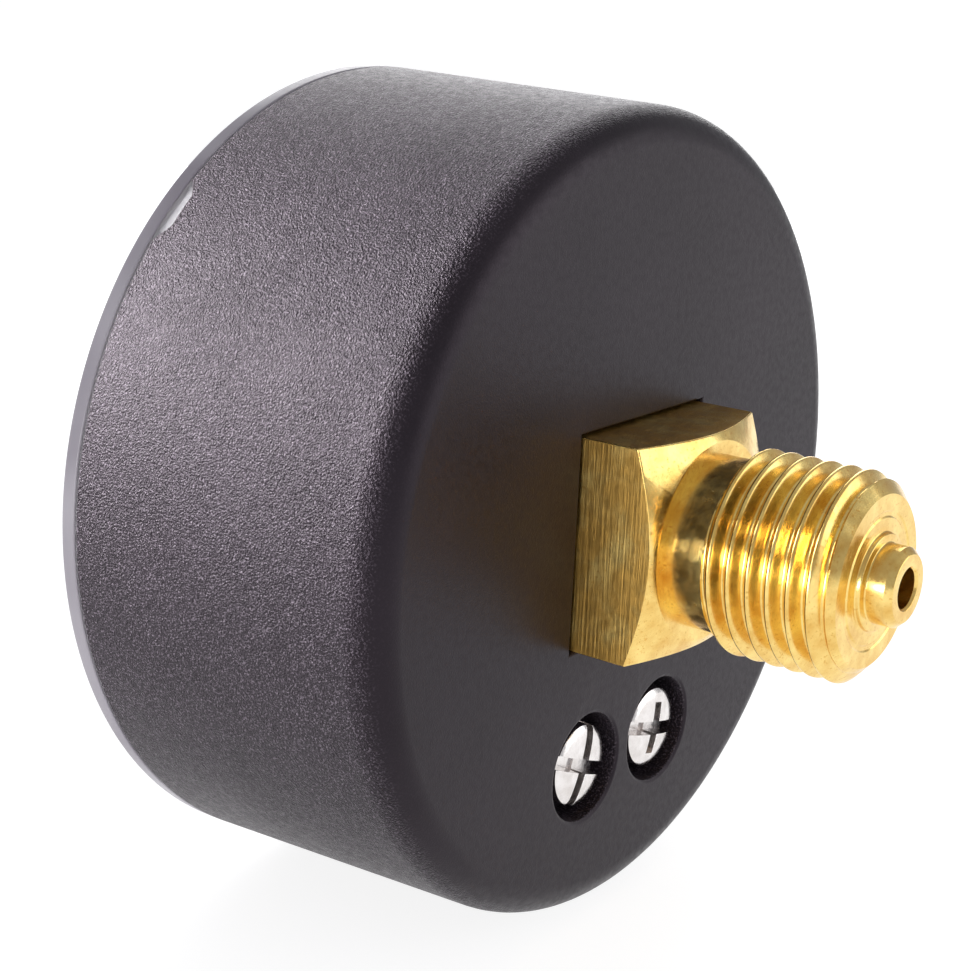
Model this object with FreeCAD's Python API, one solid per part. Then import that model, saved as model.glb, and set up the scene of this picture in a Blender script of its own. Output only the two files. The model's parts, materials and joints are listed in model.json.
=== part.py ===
import FreeCAD
import Part
import math
import os

# Pressure gauge, 50 mm nominal size, back connection G 1/4 B.
# Millimetres. The gauge axis is Y: the connection points along +Y, the dial faces -Y,
# +Z is up on the dial (12 o'clock) and +X is on the right of somebody reading it.
# The origin is on the axis, in the sealing face at the end of the threaded stub.
# "Depth" runs forward from the outer rear face of the case towards the dial.
# Angles are those of the front view: 0 is 3 o'clock, 90 is 12 o'clock.

Vector = FreeCAD.Vector
ORIGIN = Vector(0, 0, 0)
CLOCKWISE = Vector(0, 1, 0)
COUNTERCLOCKWISE = Vector(0, -1, 0)

# --- driving dimensions -----------------------------------------------------

# connection: G 1/4 parallel pipe thread, 14 mm square, centring spigot
THREAD_MAJOR_D = 13.157
THREAD_MINOR_D = 11.445
THREAD_PITCH = 1.337
THREAD_LENGTH = 9.0
THREAD_FLANK_ANGLE = 27.5
THREAD_SINK = 0.15
THREAD_CHAMFER_MARGIN = 0.1
THREAD_CHAMFER_SLOPE = 0.6
STUB_LENGTH = 11.5
NECK_D = 11.2
NECK_CHAMFER = 0.1
STUB_END_CHAMFER = 0.5
SPIGOT_D = 5.0
SPIGOT_LENGTH = 2.0
SPIGOT_FOOT_D = 6.2
SPIGOT_FOOT_LENGTH = 0.35
SPIGOT_CHAMFER = 0.4
BORE_D = 2.5
SQUARE_SIZE = 14.0
SQUARE_STANDOUT = 5.5
SQUARE_FACE_MARGIN = 0.5
SQUARE_CHAMFER_ANGLE = 25.0

# moulded case
CASE_FRONT_D = 55.0
CASE_DRAFT_ANGLE = 2.12
CASE_DEPTH = 23.0
SIDE_WALL = 2.0
REAR_WALL = 2.5
REAR_EDGE_RADIUS = 2.4
SEAT_PAD_HEIGHT = 3.0
SEAT_PAD_MARGIN = 1.0
PRY_NOTCH_ANGLE = 45.0
PRY_NOTCH_WIDTH = 4.8
PRY_NOTCH_DEPTH = 0.9
PRY_NOTCH_SLOPE = 1.2

# snap-in window
WINDOW_THICKNESS = 1.85
WINDOW_FLANGE = 1.05
WINDOW_BEVEL_WIDTH = 1.3
SKIRT_LENGTH = 3.3
SKIRT_WALL = 1.2
SNAP_BEAD = 0.25
SNAP_BEAD_WIDTH = 1.0
SNAP_BEAD_DROP = 1.4

# case screws: M3, two, below the connection
CASE_SCREW_D = 3.0
CASE_SCREW_HEAD_D = 5.6
CASE_SCREW_HEAD_HEIGHT = 2.2
CASE_SCREW_EDGE = 1.6
CASE_SCREW_SLOT = 0.9
CASE_SCREW_SLOT_DEPTH = 1.1
HEAD_DOME_RADIUS_SHARE = 0.75
HEAD_DOME_DROP_SHARE = 0.3
CASE_SCREW_RECESS_ARM = 1.7
CASE_SCREW_SPACING = 8.8
CASE_SCREW_DROP = 15.8
CASE_SCREW_GRIP = 4.0
SCREW_WELL_PLAY = 0.875
SCREW_HEAD_RECESS = 0.2
SCREW_WELL_ROUNDING = 0.3

# socket block inside the case
BLOCK_SIDE_SHOULDER = 1.5
BLOCK_TOP_SHOULDER = 2.0
BLOCK_THICKNESS = 6.0
BLOCK_BELOW_TUBE = 2.6
TUBE_BOSS_WIDTH = 10.0
TUBE_BOSS_ABOVE_TUBE = 3.1
PASSAGE_D = 2.2
FEED_D = 1.2
PLUG_LENGTH = 1.5

# Bourdon tube: flattened C tube
TUBE_TO_WALL = 4.84
TUBE_SECTION_THICKNESS = 1.8
TUBE_SECTION_WIDTH = 6.0
TUBE_WALL = 0.3
TUBE_REAR_GAP = 0.4
TUBE_START_ANGLE = -95.0
TUBE_SWEEP = 280.0
TUBE_SLOT_END_ANGLE = -85.0
END_PIECE_SWEEP = 8.0
END_PIECE_MARGIN = 0.3
END_TONGUE_SWEEP = 5.5
LUG_ROOT_RADIUS = 1.0
TUBE_SLOT_OVERRUN = 4.0

# movement
PLATE_THICKNESS = 1.0
PLATE_SPACING = 4.5
WEB_HALF_WIDTH = 2.2
GEAR_MODULE = 0.3
PINION_TEETH = 10
PRESSURE_ANGLE = 20.0
DEDENDUM_FACTOR = 1.25
TOOTH_SIDE_STEPS = 4
SECTOR_FULL_TEETH = 60
SECTOR_CUT_TEETH = 12
SECTOR_TIP_FACTOR = 0.6
GEAR_BACKLASH = 0.08
GEAR_THICKNESS = 0.8
PINION_LENGTH = 1.8
SECTOR_RIM = 1.9
SECTOR_SPARE_TEETH = 1.5
SECTOR_RIM_MARGIN = 0.6
SECTOR_HUB_D = 4.6
SECTOR_PIVOT_ANGLE = -60.0
POINTER_SWEEP = 270.0
TAIL_LENGTH = 4.0
TAIL_SQUARE_SHARE = 1 / 3
LINK_LENGTH = 9.0
LINK_THICKNESS = 0.4
LINK_GAP = 0.2
LINK_EYE_D = 3.2
LINK_WAIST = 1.5
LINK_PIN_D = 1.0
LINK_PIN_HEAD_D = 2.4
LINK_PIN_HEAD = 0.4
OPEN_PIVOT_PLAY = 0.35
ARBOR_D = 1.8
ARBOR_FRONT_D = 1.6
PIVOT_D = 1.0
PILLAR_D = 3.0
PLATE_SCREW_D = 1.6
PLATE_SCREW_HEAD_D = 2.9
PLATE_SCREW_HEAD = 0.8
PLATE_SCREW_GRIP = 1.6
SMALL_SLOT_DEPTH_SHARE = 0.5
SMALL_SLOT_WIDTH_SHARE = 0.25
MOVEMENT_SCREW_D = 2.0
MOVEMENT_SCREW_HEAD_D = 3.6
MOVEMENT_SCREW_HEAD = 1.2
MOVEMENT_SCREW_GRIP = 3.5
MOVEMENT_SCREW_POINTS = [(-6.0, 5.0), (-5.0, -9.5)]
PILLAR_POINTS = [(-7.5, -1.0), (4.5, 8.5), (-1.5, -13.5)]

# hairspring
COLLET_D = 3.8
COLLET_LENGTH = 0.8
COLLET_GAP = 0.1
HAIRSPRING_TURNS = 5
HAIRSPRING_POINTS_PER_TURN = 16
HAIRSPRING_OUTER_R = 5.4
HAIRSPRING_STRIP = 0.14
HAIRSPRING_WIDTH = 0.6
STUD_D = 1.2
HAIRSPRING_END_ANGLE = 160.0

# dial and pointer
DIAL_TO_WALL = 1.05
DIAL_THICKNESS = 0.6
DIAL_CENTRE_HOLE_D = 6.0
DIAL_POST_D = 3.6
DIAL_CLAMP_GAP = 0.1
DIAL_POST_OFFSET = 8.5
DIAL_SCREW_D = 2.0
DIAL_SCREW_HEAD_D = 3.4
DIAL_SCREW_HEAD = 0.8
DIAL_SCREW_GRIP = 0.8
ZERO_ANGLE = 225.0
POINTER_TO_DIAL_EDGE = 5.8
POINTER_TAIL = 7.0
POINTER_THICKNESS = 0.5
POINTER_ROOT_HALF = 1.1
POINTER_TIP_HALF = 0.25
POINTER_TIP_LENGTH = 1.0
POINTER_BOSS_MARGIN = 0.8
POINTER_TAIL_HALF = 1.5
POINTER_LIFT = 1.6
HUB_D = 4.0
HUB_HEIGHT = 1.6
ARBOR_TIP_ABOVE_HUB = 0.2
STOP_PIN_D = 0.8
STOP_PIN_RADIUS = 11.0
STOP_PIN_ABOVE_POINTER = 0.4

# clearances
SQUARE_HOLE_CLEARANCE = 0.18
SCREW_HOLE_CLEARANCE = 0.2
SEAT_CLEARANCE = 0.02
THREAD_CLEARANCE = 0.03
BRAZE_GAP = 0.05
RUNNING_CLEARANCE = 0.05
WINDOW_GAP = 0.15
SKIRT_CLEARANCE = 0.12
STOP_CLEARANCE = 0.05
PIVOT_END_PLAY = 0.2
SCREW_END_GAP = 0.3

# how far a cutter reaches past what it cuts, and how close two sizes are to be the same
OVERCUT = 1.0
SAME = 1e-4

# --- derived places -----------------------------------------------------------

REAR_Y = -(STUB_LENGTH + SQUARE_STANDOUT)


def case_radius(depth):
    """Outer radius of the case side at a depth."""
    draft = math.tan(math.radians(CASE_DRAFT_ANGLE))
    return CASE_FRONT_D / 2 - (CASE_DEPTH - depth) * draft


def inner_radius(depth):
    return case_radius(depth) - SIDE_WALL


SCREW_WELL_D = CASE_SCREW_HEAD_D + 2 * SCREW_WELL_PLAY
SCREW_WELL_DEPTH = CASE_SCREW_HEAD_HEIGHT + SCREW_HEAD_RECESS
BLOCK_HALF_WIDTH = SQUARE_SIZE / 2 + BLOCK_SIDE_SHOULDER
BLOCK_TOP = SQUARE_SIZE / 2 + BLOCK_TOP_SHOULDER
BLOCK_REAR = REAR_WALL + SEAT_PAD_HEIGHT
BLOCK_FRONT = BLOCK_REAR + BLOCK_THICKNESS
TUBE_RADIUS = inner_radius(REAR_WALL) - TUBE_TO_WALL - TUBE_SECTION_THICKNESS / 2
TUBE_REAR = BLOCK_FRONT + TUBE_REAR_GAP
TUBE_MIDDLE = TUBE_REAR + TUBE_SECTION_WIDTH / 2
BLOCK_BOTTOM = TUBE_RADIUS + BLOCK_BELOW_TUBE
BACK_PLATE_FRONT = BLOCK_FRONT + PLATE_THICKNESS
FRONT_PLATE_REAR = BACK_PLATE_FRONT + PLATE_SPACING
FRONT_PLATE_FRONT = FRONT_PLATE_REAR + PLATE_THICKNESS
GEAR_REAR = BACK_PLATE_FRONT + (PLATE_SPACING - GEAR_THICKNESS) / 2
GEAR_FRONT = GEAR_REAR + GEAR_THICKNESS
LINK_FRONT = GEAR_REAR - LINK_GAP
LINK_REAR = LINK_FRONT - LINK_THICKNESS
PINION_REAR = (GEAR_REAR + GEAR_FRONT - PINION_LENGTH) / 2
PINION_FRONT = PINION_REAR + PINION_LENGTH
COLLET_REAR = PINION_FRONT + COLLET_GAP
COLLET_FRONT = COLLET_REAR + COLLET_LENGTH
SKIRT_REAR = CASE_DEPTH - SKIRT_LENGTH
DIAL_FRONT = SKIRT_REAR - DIAL_CLAMP_GAP
DIAL_REAR = DIAL_FRONT - DIAL_THICKNESS
DIAL_RADIUS = inner_radius(DIAL_REAR) - DIAL_TO_WALL
POINTER_LENGTH = DIAL_RADIUS - POINTER_TO_DIAL_EDGE
POINTER_REAR = DIAL_FRONT + POINTER_LIFT
POINTER_FRONT = POINTER_REAR + POINTER_THICKNESS
HUB_REAR = POINTER_REAR - (HUB_HEIGHT - POINTER_THICKNESS) / 2
HUB_FRONT = HUB_REAR + HUB_HEIGHT
ARBOR_TIP = HUB_FRONT + ARBOR_TIP_ABOVE_HUB
WINDOW_REAR = CASE_DEPTH + WINDOW_GAP

PINION_R = GEAR_MODULE * PINION_TEETH / 2
SECTOR_R = GEAR_MODULE * SECTOR_FULL_TEETH / 2
GEAR_RATIO = SECTOR_FULL_TEETH / PINION_TEETH
SECTOR_SWEEP = POINTER_SWEEP / GEAR_RATIO
TUBE_END_ANGLE = TUBE_START_ANGLE - TUBE_SWEEP
DIAL_POST_POINTS = [(0.0, DIAL_POST_OFFSET), (0.0, -DIAL_POST_OFFSET)]


def polar(radius, degrees):
    """Point of the front view at a radius and an angle."""
    turn = math.radians(degrees)
    return radius * math.cos(turn), radius * math.sin(turn)


def shifted(point, radius, degrees):
    """Point at a radius and an angle from another point."""
    dx, dz = polar(radius, degrees)
    return point[0] + dx, point[1] + dz


def tip_travel_angle():
    """Direction in which the free end of the tube moves as the tube unwinds."""
    free_sweep = math.radians(TUBE_SWEEP) - math.asin(TUBE_BOSS_WIDTH / 2 / TUBE_RADIUS)
    back = free_sweep - math.sin(free_sweep)
    outward = 1 - math.cos(free_sweep)
    return TUBE_END_ANGLE + math.degrees(math.atan2(back, outward))


# The tail of the sector stands square to the tip's travel part of the way up the scale,
# and at rest the link lies along that travel.
TRAVEL_ANGLE = tip_travel_angle()
SECTOR_PIVOT = polar(PINION_R + SECTOR_R, SECTOR_PIVOT_ANGLE)
TAIL_REST_ANGLE = TRAVEL_ANGLE - 90 - SECTOR_SWEEP * TAIL_SQUARE_SHARE
TAIL_PIVOT = shifted(SECTOR_PIVOT, TAIL_LENGTH, TAIL_REST_ANGLE)
TIP_PIVOT = shifted(TAIL_PIVOT, LINK_LENGTH, TRAVEL_ANGLE)


# --- helpers --------------------------------------------------------------------


def y_at(depth):
    return REAR_Y - depth


def rod(point, rear, front, diameter):
    """Cylinder along the gauge axis between two depths."""
    base = Vector(point[0], y_at(front), point[1])
    return Part.makeCylinder(diameter / 2, front - rear, base, CLOCKWISE)


def box(x0, x1, z0, z1, rear, front):
    return Part.makeBox(x1 - x0, front - rear, z1 - z0, Vector(x0, y_at(front), z0))


def turned(profile):
    """Solid of revolution about the gauge axis from (radius, depth) corners."""
    corners = [Vector(radius, y_at(depth), 0) for radius, depth in profile]
    face = Part.Face(Part.makePolygon(corners + corners[:1]))
    return face.revolve(ORIGIN, CLOCKWISE, 360)


def slab(face, rear, front):
    """Face drawn in the XZ plane, extruded between two depths."""
    placed = face.copy()
    placed.translate(Vector(0, y_at(front), 0))
    return placed.extrude(Vector(0, front - rear, 0))


def polygon_face(points):
    corners = [Vector(x, 0, z) for x, z in points]
    return Part.Face(Part.makePolygon(corners + corners[:1]))


def capsule_face(start, end, start_r, end_r):
    """Straight link outline: a round end about each point, joined by straight sides."""
    a = Vector(start[0], 0, start[1])
    b = Vector(end[0], 0, end[1])
    along = (b - a).normalize()
    side = Vector(-along.z, 0, along.x)
    corners = [a + side * start_r, b + side * end_r, b - side * end_r, a - side * start_r]
    edges = [
        Part.makeLine(corners[0], corners[1]),
        Part.Arc(corners[1], b + along * end_r, corners[2]).toShape(),
        Part.makeLine(corners[2], corners[3]),
        Part.Arc(corners[3], a - along * start_r, corners[0]).toShape(),
    ]
    return Part.Face(Part.Wire(edges))


def bar(start, end, half_width, rear, front):
    return slab(capsule_face(start, end, half_width, half_width), rear, front)


def fused(shapes):
    whole = shapes[0].multiFuse(shapes[1:]) if len(shapes) > 1 else shapes[0]
    return whole.removeSplitter()


def drilled(shape, points, rear, front, diameter):
    for point in points:
        shape = shape.cut(rod(point, rear, front, diameter))
    return shape


def bored(shape, point, diameter):
    """Hole right through whatever of the link or the gears lies at a point."""
    return drilled(shape, [point], LINK_REAR - OVERCUT, GEAR_FRONT + OVERCUT, diameter)


def oblong_face(radius, thickness, width):
    """Flat-sided tube section with round ends, at a radius in the XY plane."""
    middle = y_at(TUBE_MIDDLE)
    straight = (width - thickness) / 2
    inner = radius - thickness / 2
    outer = radius + thickness / 2
    corners = [
        Vector(inner, middle - straight, 0),
        Vector(outer, middle - straight, 0),
        Vector(outer, middle + straight, 0),
        Vector(inner, middle + straight, 0),
    ]
    low = Vector(radius, middle - width / 2, 0)
    high = Vector(radius, middle + width / 2, 0)
    edges = [
        Part.Arc(corners[0], low, corners[1]).toShape(),
        Part.makeLine(corners[1], corners[2]),
        Part.Arc(corners[2], high, corners[3]).toShape(),
        Part.makeLine(corners[3], corners[0]),
    ]
    return Part.Face(Part.Wire(edges))


def coiled(thickness, width, start_angle, sweep):
    """Oblong section carried clockwise round the gauge axis."""
    face = oblong_face(TUBE_RADIUS, thickness, width)
    face.rotate(ORIGIN, COUNTERCLOCKWISE, start_angle)
    return face.revolve(ORIGIN, CLOCKWISE, sweep)


def slotted_screw(point, head_rear, head_d, head_height, shank_d, shank_length):
    """Cheese-head screw entered from the front, slotted across the head."""
    slot = head_height * SMALL_SLOT_DEPTH_SHARE
    head_front = head_rear + head_height
    screw = fused([
        rod(point, head_rear, head_front, head_d),
        rod(point, head_rear - shank_length, head_rear, shank_d),
    ])
    half = head_d * SMALL_SLOT_WIDTH_SHARE / 2
    x, z = point
    return screw.cut(box(x - head_d, x + head_d, z - half, z + half, head_front - slot, head_front))


def circles_at(shape, radius, depth):
    """Circular edges of a radius that lie wholly at one depth."""
    found = []
    for edge in shape.Edges:
        round_edge = isinstance(edge.Curve, Part.Circle)
        if round_edge and abs(edge.Curve.Radius - radius) < SAME:
            if abs(edge.Curve.Center.y - y_at(depth)) < SAME:
                found.append(edge)
    return found


# --- case and window --------------------------------------------------------------


def case_shell():
    outer = turned([
        (0, 0),
        (case_radius(0), 0),
        (case_radius(CASE_DEPTH), CASE_DEPTH),
        (0, CASE_DEPTH),
    ])
    outer = outer.makeFillet(REAR_EDGE_RADIUS, circles_at(outer, case_radius(0), 0))
    hollow = turned([
        (0, REAR_WALL),
        (inner_radius(REAR_WALL), REAR_WALL),
        (inner_radius(CASE_DEPTH), CASE_DEPTH),
        (0, CASE_DEPTH),
    ])
    return outer.cut(hollow)


def seat_pad():
    """Thick area inside the rear wall on which the socket block lies."""
    half = BLOCK_HALF_WIDTH + SEAT_PAD_MARGIN
    pad = box(
        -half, half, -BLOCK_BOTTOM - SEAT_PAD_MARGIN, BLOCK_TOP + SEAT_PAD_MARGIN,
        REAR_WALL, BLOCK_REAR,
    )
    limit = rod((0, 0), REAR_WALL, BLOCK_REAR, 2 * inner_radius(REAR_WALL))
    return pad.common(limit)


def snap_groove():
    """Groove inside the front edge that takes the bead of the window's skirt."""
    middle = CASE_DEPTH - SNAP_BEAD_DROP
    half = SNAP_BEAD_WIDTH / 2 + SKIRT_CLEARANCE
    edge = inner_radius(middle)
    depth = SNAP_BEAD + SKIRT_CLEARANCE
    return turned([
        (edge - OVERCUT, middle - half),
        (edge, middle - half),
        (edge + depth, middle - half / 2),
        (edge + depth, middle + half / 2),
        (edge, middle + half),
        (edge - OVERCUT, middle + half),
    ])


def pry_notch():
    """Shallow notch in the front edge for lifting the window out."""
    half = PRY_NOTCH_WIDTH / 2
    floor = half - PRY_NOTCH_SLOPE
    top = y_at(CASE_DEPTH)
    outline = [(-half, top), (-floor, top + PRY_NOTCH_DEPTH), (floor, top + PRY_NOTCH_DEPTH), (half, top)]
    reach = case_radius(CASE_DEPTH) + OVERCUT
    corners = [Vector(inner_radius(CASE_DEPTH) - OVERCUT, y, z) for z, y in outline]
    face = Part.Face(Part.makePolygon(corners + corners[:1]))
    notch = face.extrude(Vector(reach - corners[0].x, 0, 0))
    notch.rotate(ORIGIN, COUNTERCLOCKWISE, PRY_NOTCH_ANGLE)
    return notch


def case_screw_points():
    half = CASE_SCREW_SPACING / 2
    return [(-half, -CASE_SCREW_DROP), (half, -CASE_SCREW_DROP)]


def case():
    body = fused([case_shell(), seat_pad()])
    half = SQUARE_SIZE / 2 + SQUARE_HOLE_CLEARANCE
    body = body.cut(box(-half, half, -half, half, -OVERCUT, BLOCK_REAR + OVERCUT))
    body = drilled(body, case_screw_points(), -OVERCUT, SCREW_WELL_DEPTH, SCREW_WELL_D)
    rims = circles_at(body, SCREW_WELL_D / 2, 0)
    body = body.makeFillet(SCREW_WELL_ROUNDING, rims)
    screw_hole = CASE_SCREW_D + 2 * SCREW_HOLE_CLEARANCE
    body = drilled(body, case_screw_points(), 0, BLOCK_REAR + OVERCUT, screw_hole)
    return body.cut(snap_groove()).cut(pry_notch())


def window():
    flange_r = case_radius(CASE_DEPTH)
    front = WINDOW_REAR + WINDOW_THICKNESS
    flange_front = WINDOW_REAR + WINDOW_FLANGE
    skirt_r = inner_radius(SKIRT_REAR) - SKIRT_CLEARANCE
    bead = CASE_DEPTH - SNAP_BEAD_DROP
    half = SNAP_BEAD_WIDTH / 2
    return turned([
        (0, WINDOW_REAR),
        (skirt_r - SKIRT_WALL, WINDOW_REAR),
        (skirt_r - SKIRT_WALL, SKIRT_REAR),
        (skirt_r, SKIRT_REAR),
        (skirt_r, bead - half),
        (inner_radius(bead) + SNAP_BEAD - SKIRT_CLEARANCE, bead - half / 2),
        (inner_radius(bead) + SNAP_BEAD - SKIRT_CLEARANCE, bead + half / 2),
        (skirt_r, bead + half),
        (skirt_r, WINDOW_REAR),
        (flange_r, WINDOW_REAR),
        (flange_r, flange_front),
        (flange_r - WINDOW_BEVEL_WIDTH, front),
        (0, front),
    ])


def pan_head_screw(point):
    """Rear case screw: domed head, one full slot and a cross recess."""
    under_head = SCREW_WELL_DEPTH - SEAT_CLEARANCE
    head_top = under_head - CASE_SCREW_HEAD_HEIGHT
    tip = under_head + (BLOCK_REAR - SCREW_WELL_DEPTH) + CASE_SCREW_GRIP
    radius = CASE_SCREW_HEAD_D / 2
    shoulder = under_head - CASE_SCREW_EDGE
    y_of = [y_at(depth) for depth in (head_top, shoulder, under_head, tip)]
    middle_r = radius * HEAD_DOME_RADIUS_SHARE
    middle_y = y_at(head_top + (shoulder - head_top) * HEAD_DOME_DROP_SHARE)
    corners = [
        Vector(0, y_of[0], 0),
        Vector(radius, y_of[1], 0),
        Vector(radius, y_of[2], 0),
        Vector(CASE_SCREW_D / 2, y_of[2], 0),
        Vector(CASE_SCREW_D / 2, y_of[3], 0),
        Vector(0, y_of[3], 0),
    ]
    dome = Part.Arc(corners[0], Vector(middle_r, middle_y, 0), corners[1]).toShape()
    sides = [Part.makeLine(a, b) for a, b in zip(corners[1:], corners[2:] + corners[:1])]
    screw = Part.Face(Part.Wire([dome] + sides)).revolve(ORIGIN, CLOCKWISE, 360)
    half = CASE_SCREW_SLOT / 2
    above = head_top - OVERCUT
    floor = head_top + CASE_SCREW_SLOT_DEPTH
    reach = radius + OVERCUT
    arm = CASE_SCREW_RECESS_ARM
    screw = screw.cut(box(-reach, reach, -half, half, above, floor))
    screw = screw.cut(box(-half, half, -arm, arm, above, floor))
    screw.translate(Vector(point[0], 0, point[1]))
    return screw


def case_screws():
    return [pan_head_screw(point) for point in case_screw_points()]


# --- socket --------------------------------------------------------------------------


def thread_ridge():
    """One continuous helical ridge of the pipe thread, sunk slightly into the core."""
    root_r = THREAD_MINOR_D / 2
    crest_r = THREAD_MAJOR_D / 2
    rise = crest_r - root_r
    flank = rise * math.tan(math.radians(THREAD_FLANK_ANGLE))
    crest_half = (THREAD_PITCH - 2 * flank) / 4
    foot_half = crest_half + flank + THREAD_SINK * math.tan(math.radians(THREAD_FLANK_ANGLE))
    turns_height = THREAD_LENGTH + 2 * THREAD_PITCH
    helix = Part.makeLongHelix(THREAD_PITCH, turns_height, root_r)
    corners = [
        Vector(root_r - THREAD_SINK, 0, -foot_half),
        Vector(crest_r, 0, -crest_half),
        Vector(crest_r, 0, crest_half),
        Vector(root_r - THREAD_SINK, 0, foot_half),
    ]
    profile = Part.makePolygon(corners + corners[:1])
    ridge = Part.Wire(helix.Edges).makePipeShell([profile], True, True)
    ridge.rotate(ORIGIN, Vector(1, 0, 0), -90)
    ridge.translate(Vector(0, -THREAD_LENGTH - THREAD_PITCH, 0))
    return ridge


def thread_envelope():
    """Room that the ridge fills: chamfered at the sealing face, run out at the neck."""
    crest_r = THREAD_MAJOR_D / 2
    core_r = NECK_D / 2 - 2 * THREAD_SINK
    chamfer = crest_r - THREAD_MINOR_D / 2 + THREAD_CHAMFER_MARGIN
    slope = chamfer * THREAD_CHAMFER_SLOPE
    profile = [
        (core_r, 0),
        (crest_r - chamfer, 0),
        (crest_r, -slope),
        (crest_r, -THREAD_LENGTH + slope),
        (crest_r - chamfer, -THREAD_LENGTH),
        (core_r, -THREAD_LENGTH),
    ]
    corners = [Vector(radius, y, 0) for radius, y in profile]
    face = Part.Face(Part.makePolygon(corners + corners[:1]))
    return face.revolve(ORIGIN, CLOCKWISE, 360)


def stub_core():
    """Neck, thread core, sealing face and centring spigot, all turned."""
    end = SPIGOT_LENGTH
    profile = [
        (0, REAR_Y),
        (NECK_D / 2, REAR_Y),
        (NECK_D / 2, -THREAD_LENGTH - NECK_CHAMFER),
        (THREAD_MINOR_D / 2, -THREAD_LENGTH),
        (THREAD_MINOR_D / 2, -STUB_END_CHAMFER),
        (THREAD_MINOR_D / 2 - STUB_END_CHAMFER, 0),
        (SPIGOT_FOOT_D / 2, 0),
        (SPIGOT_D / 2, SPIGOT_FOOT_LENGTH),
        (SPIGOT_D / 2, end - SPIGOT_CHAMFER),
        (SPIGOT_D / 2 - SPIGOT_CHAMFER, end),
        (0, end),
    ]
    corners = [Vector(radius, y, 0) for radius, y in profile]
    face = Part.Face(Part.makePolygon(corners + corners[:1]))
    return face.revolve(ORIGIN, CLOCKWISE, 360)


def spanner_square():
    """Square with its outer corners turned off to a cone."""
    half = SQUARE_SIZE / 2
    square = box(-half, half, -half, half, -SQUARE_STANDOUT, BLOCK_REAR)
    start_r = half - SQUARE_FACE_MARGIN
    reach = SQUARE_SIZE
    drop = (reach - start_r) * math.tan(math.radians(SQUARE_CHAMFER_ANGLE))
    cone = turned([
        (0, -SQUARE_STANDOUT),
        (start_r, -SQUARE_STANDOUT),
        (reach, drop - SQUARE_STANDOUT),
        (reach, BLOCK_REAR + OVERCUT),
        (0, BLOCK_REAR + OVERCUT),
    ])
    return square.common(cone)


def tube_boss():
    """Raised foot on the arm that holds the fixed end of the Bourdon tube."""
    half = TUBE_BOSS_WIDTH / 2
    front = TUBE_REAR + TUBE_SECTION_WIDTH + TUBE_REAR_GAP
    top = -TUBE_RADIUS + TUBE_BOSS_ABOVE_TUBE
    boss = box(-half, half, -BLOCK_BOTTOM, top, BLOCK_FRONT, front)
    gap = 2 * BRAZE_GAP
    half_boss = math.degrees(math.asin(half / TUBE_RADIUS))
    sweep = half_boss + TUBE_SLOT_END_ANGLE + 90 + TUBE_SLOT_OVERRUN
    slot = coiled(
        TUBE_SECTION_THICKNESS + gap, TUBE_SECTION_WIDTH + gap, TUBE_SLOT_END_ANGLE, sweep,
    )
    return boss.cut(slot)


def pressure_passage():
    """Axial bore, cross drilling down the arm and feed hole into the tube's slot."""
    middle = (BLOCK_REAR + BLOCK_FRONT) / 2
    length = SPIGOT_LENGTH - y_at(middle) + OVERCUT
    bore = Part.makeCylinder(BORE_D / 2, length, Vector(0, y_at(middle), 0), CLOCKWISE)
    foot = Vector(0, y_at(middle), -BLOCK_BOTTOM - OVERCUT)
    cross = Part.makeCylinder(PASSAGE_D / 2, BLOCK_BOTTOM + OVERCUT, foot, Vector(0, 0, 1))
    feed = rod((0, -TUBE_RADIUS), middle, TUBE_REAR + TUBE_SECTION_THICKNESS, FEED_D)
    return fused([bore, cross, feed])


def socket():
    block = box(
        -BLOCK_HALF_WIDTH, BLOCK_HALF_WIDTH, -BLOCK_BOTTOM, BLOCK_TOP, BLOCK_REAR, BLOCK_FRONT,
    )
    thread = thread_ridge().common(thread_envelope())
    body = fused([stub_core(), thread, spanner_square(), block, tube_boss()])
    body = body.cut(pressure_passage())
    tapped = CASE_SCREW_D + 2 * THREAD_CLEARANCE
    depth = BLOCK_REAR + CASE_SCREW_GRIP + THREAD_PITCH / 2
    body = drilled(body, case_screw_points(), BLOCK_REAR - OVERCUT, depth, tapped)
    tapped = MOVEMENT_SCREW_D + 2 * THREAD_CLEARANCE
    depth = BLOCK_FRONT - MOVEMENT_SCREW_GRIP
    return drilled(body, MOVEMENT_SCREW_POINTS, depth, BLOCK_FRONT + OVERCUT, tapped)


def passage_plug():
    """Plug that closes the cross drilling at the foot of the arm."""
    middle = (BLOCK_REAR + BLOCK_FRONT) / 2
    foot = Vector(0, y_at(middle), -BLOCK_BOTTOM)
    return Part.makeCylinder(PASSAGE_D / 2 - SEAT_CLEARANCE, PLUG_LENGTH, foot, Vector(0, 0, 1))


# --- Bourdon tube and link --------------------------------------------------------------


def bourdon_tube():
    outer = coiled(TUBE_SECTION_THICKNESS, TUBE_SECTION_WIDTH, TUBE_START_ANGLE, TUBE_SWEEP)
    wall = 2 * TUBE_WALL
    inner = coiled(
        TUBE_SECTION_THICKNESS - wall, TUBE_SECTION_WIDTH - wall, TUBE_START_ANGLE, TUBE_SWEEP,
    )
    return outer.cut(inner)


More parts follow.
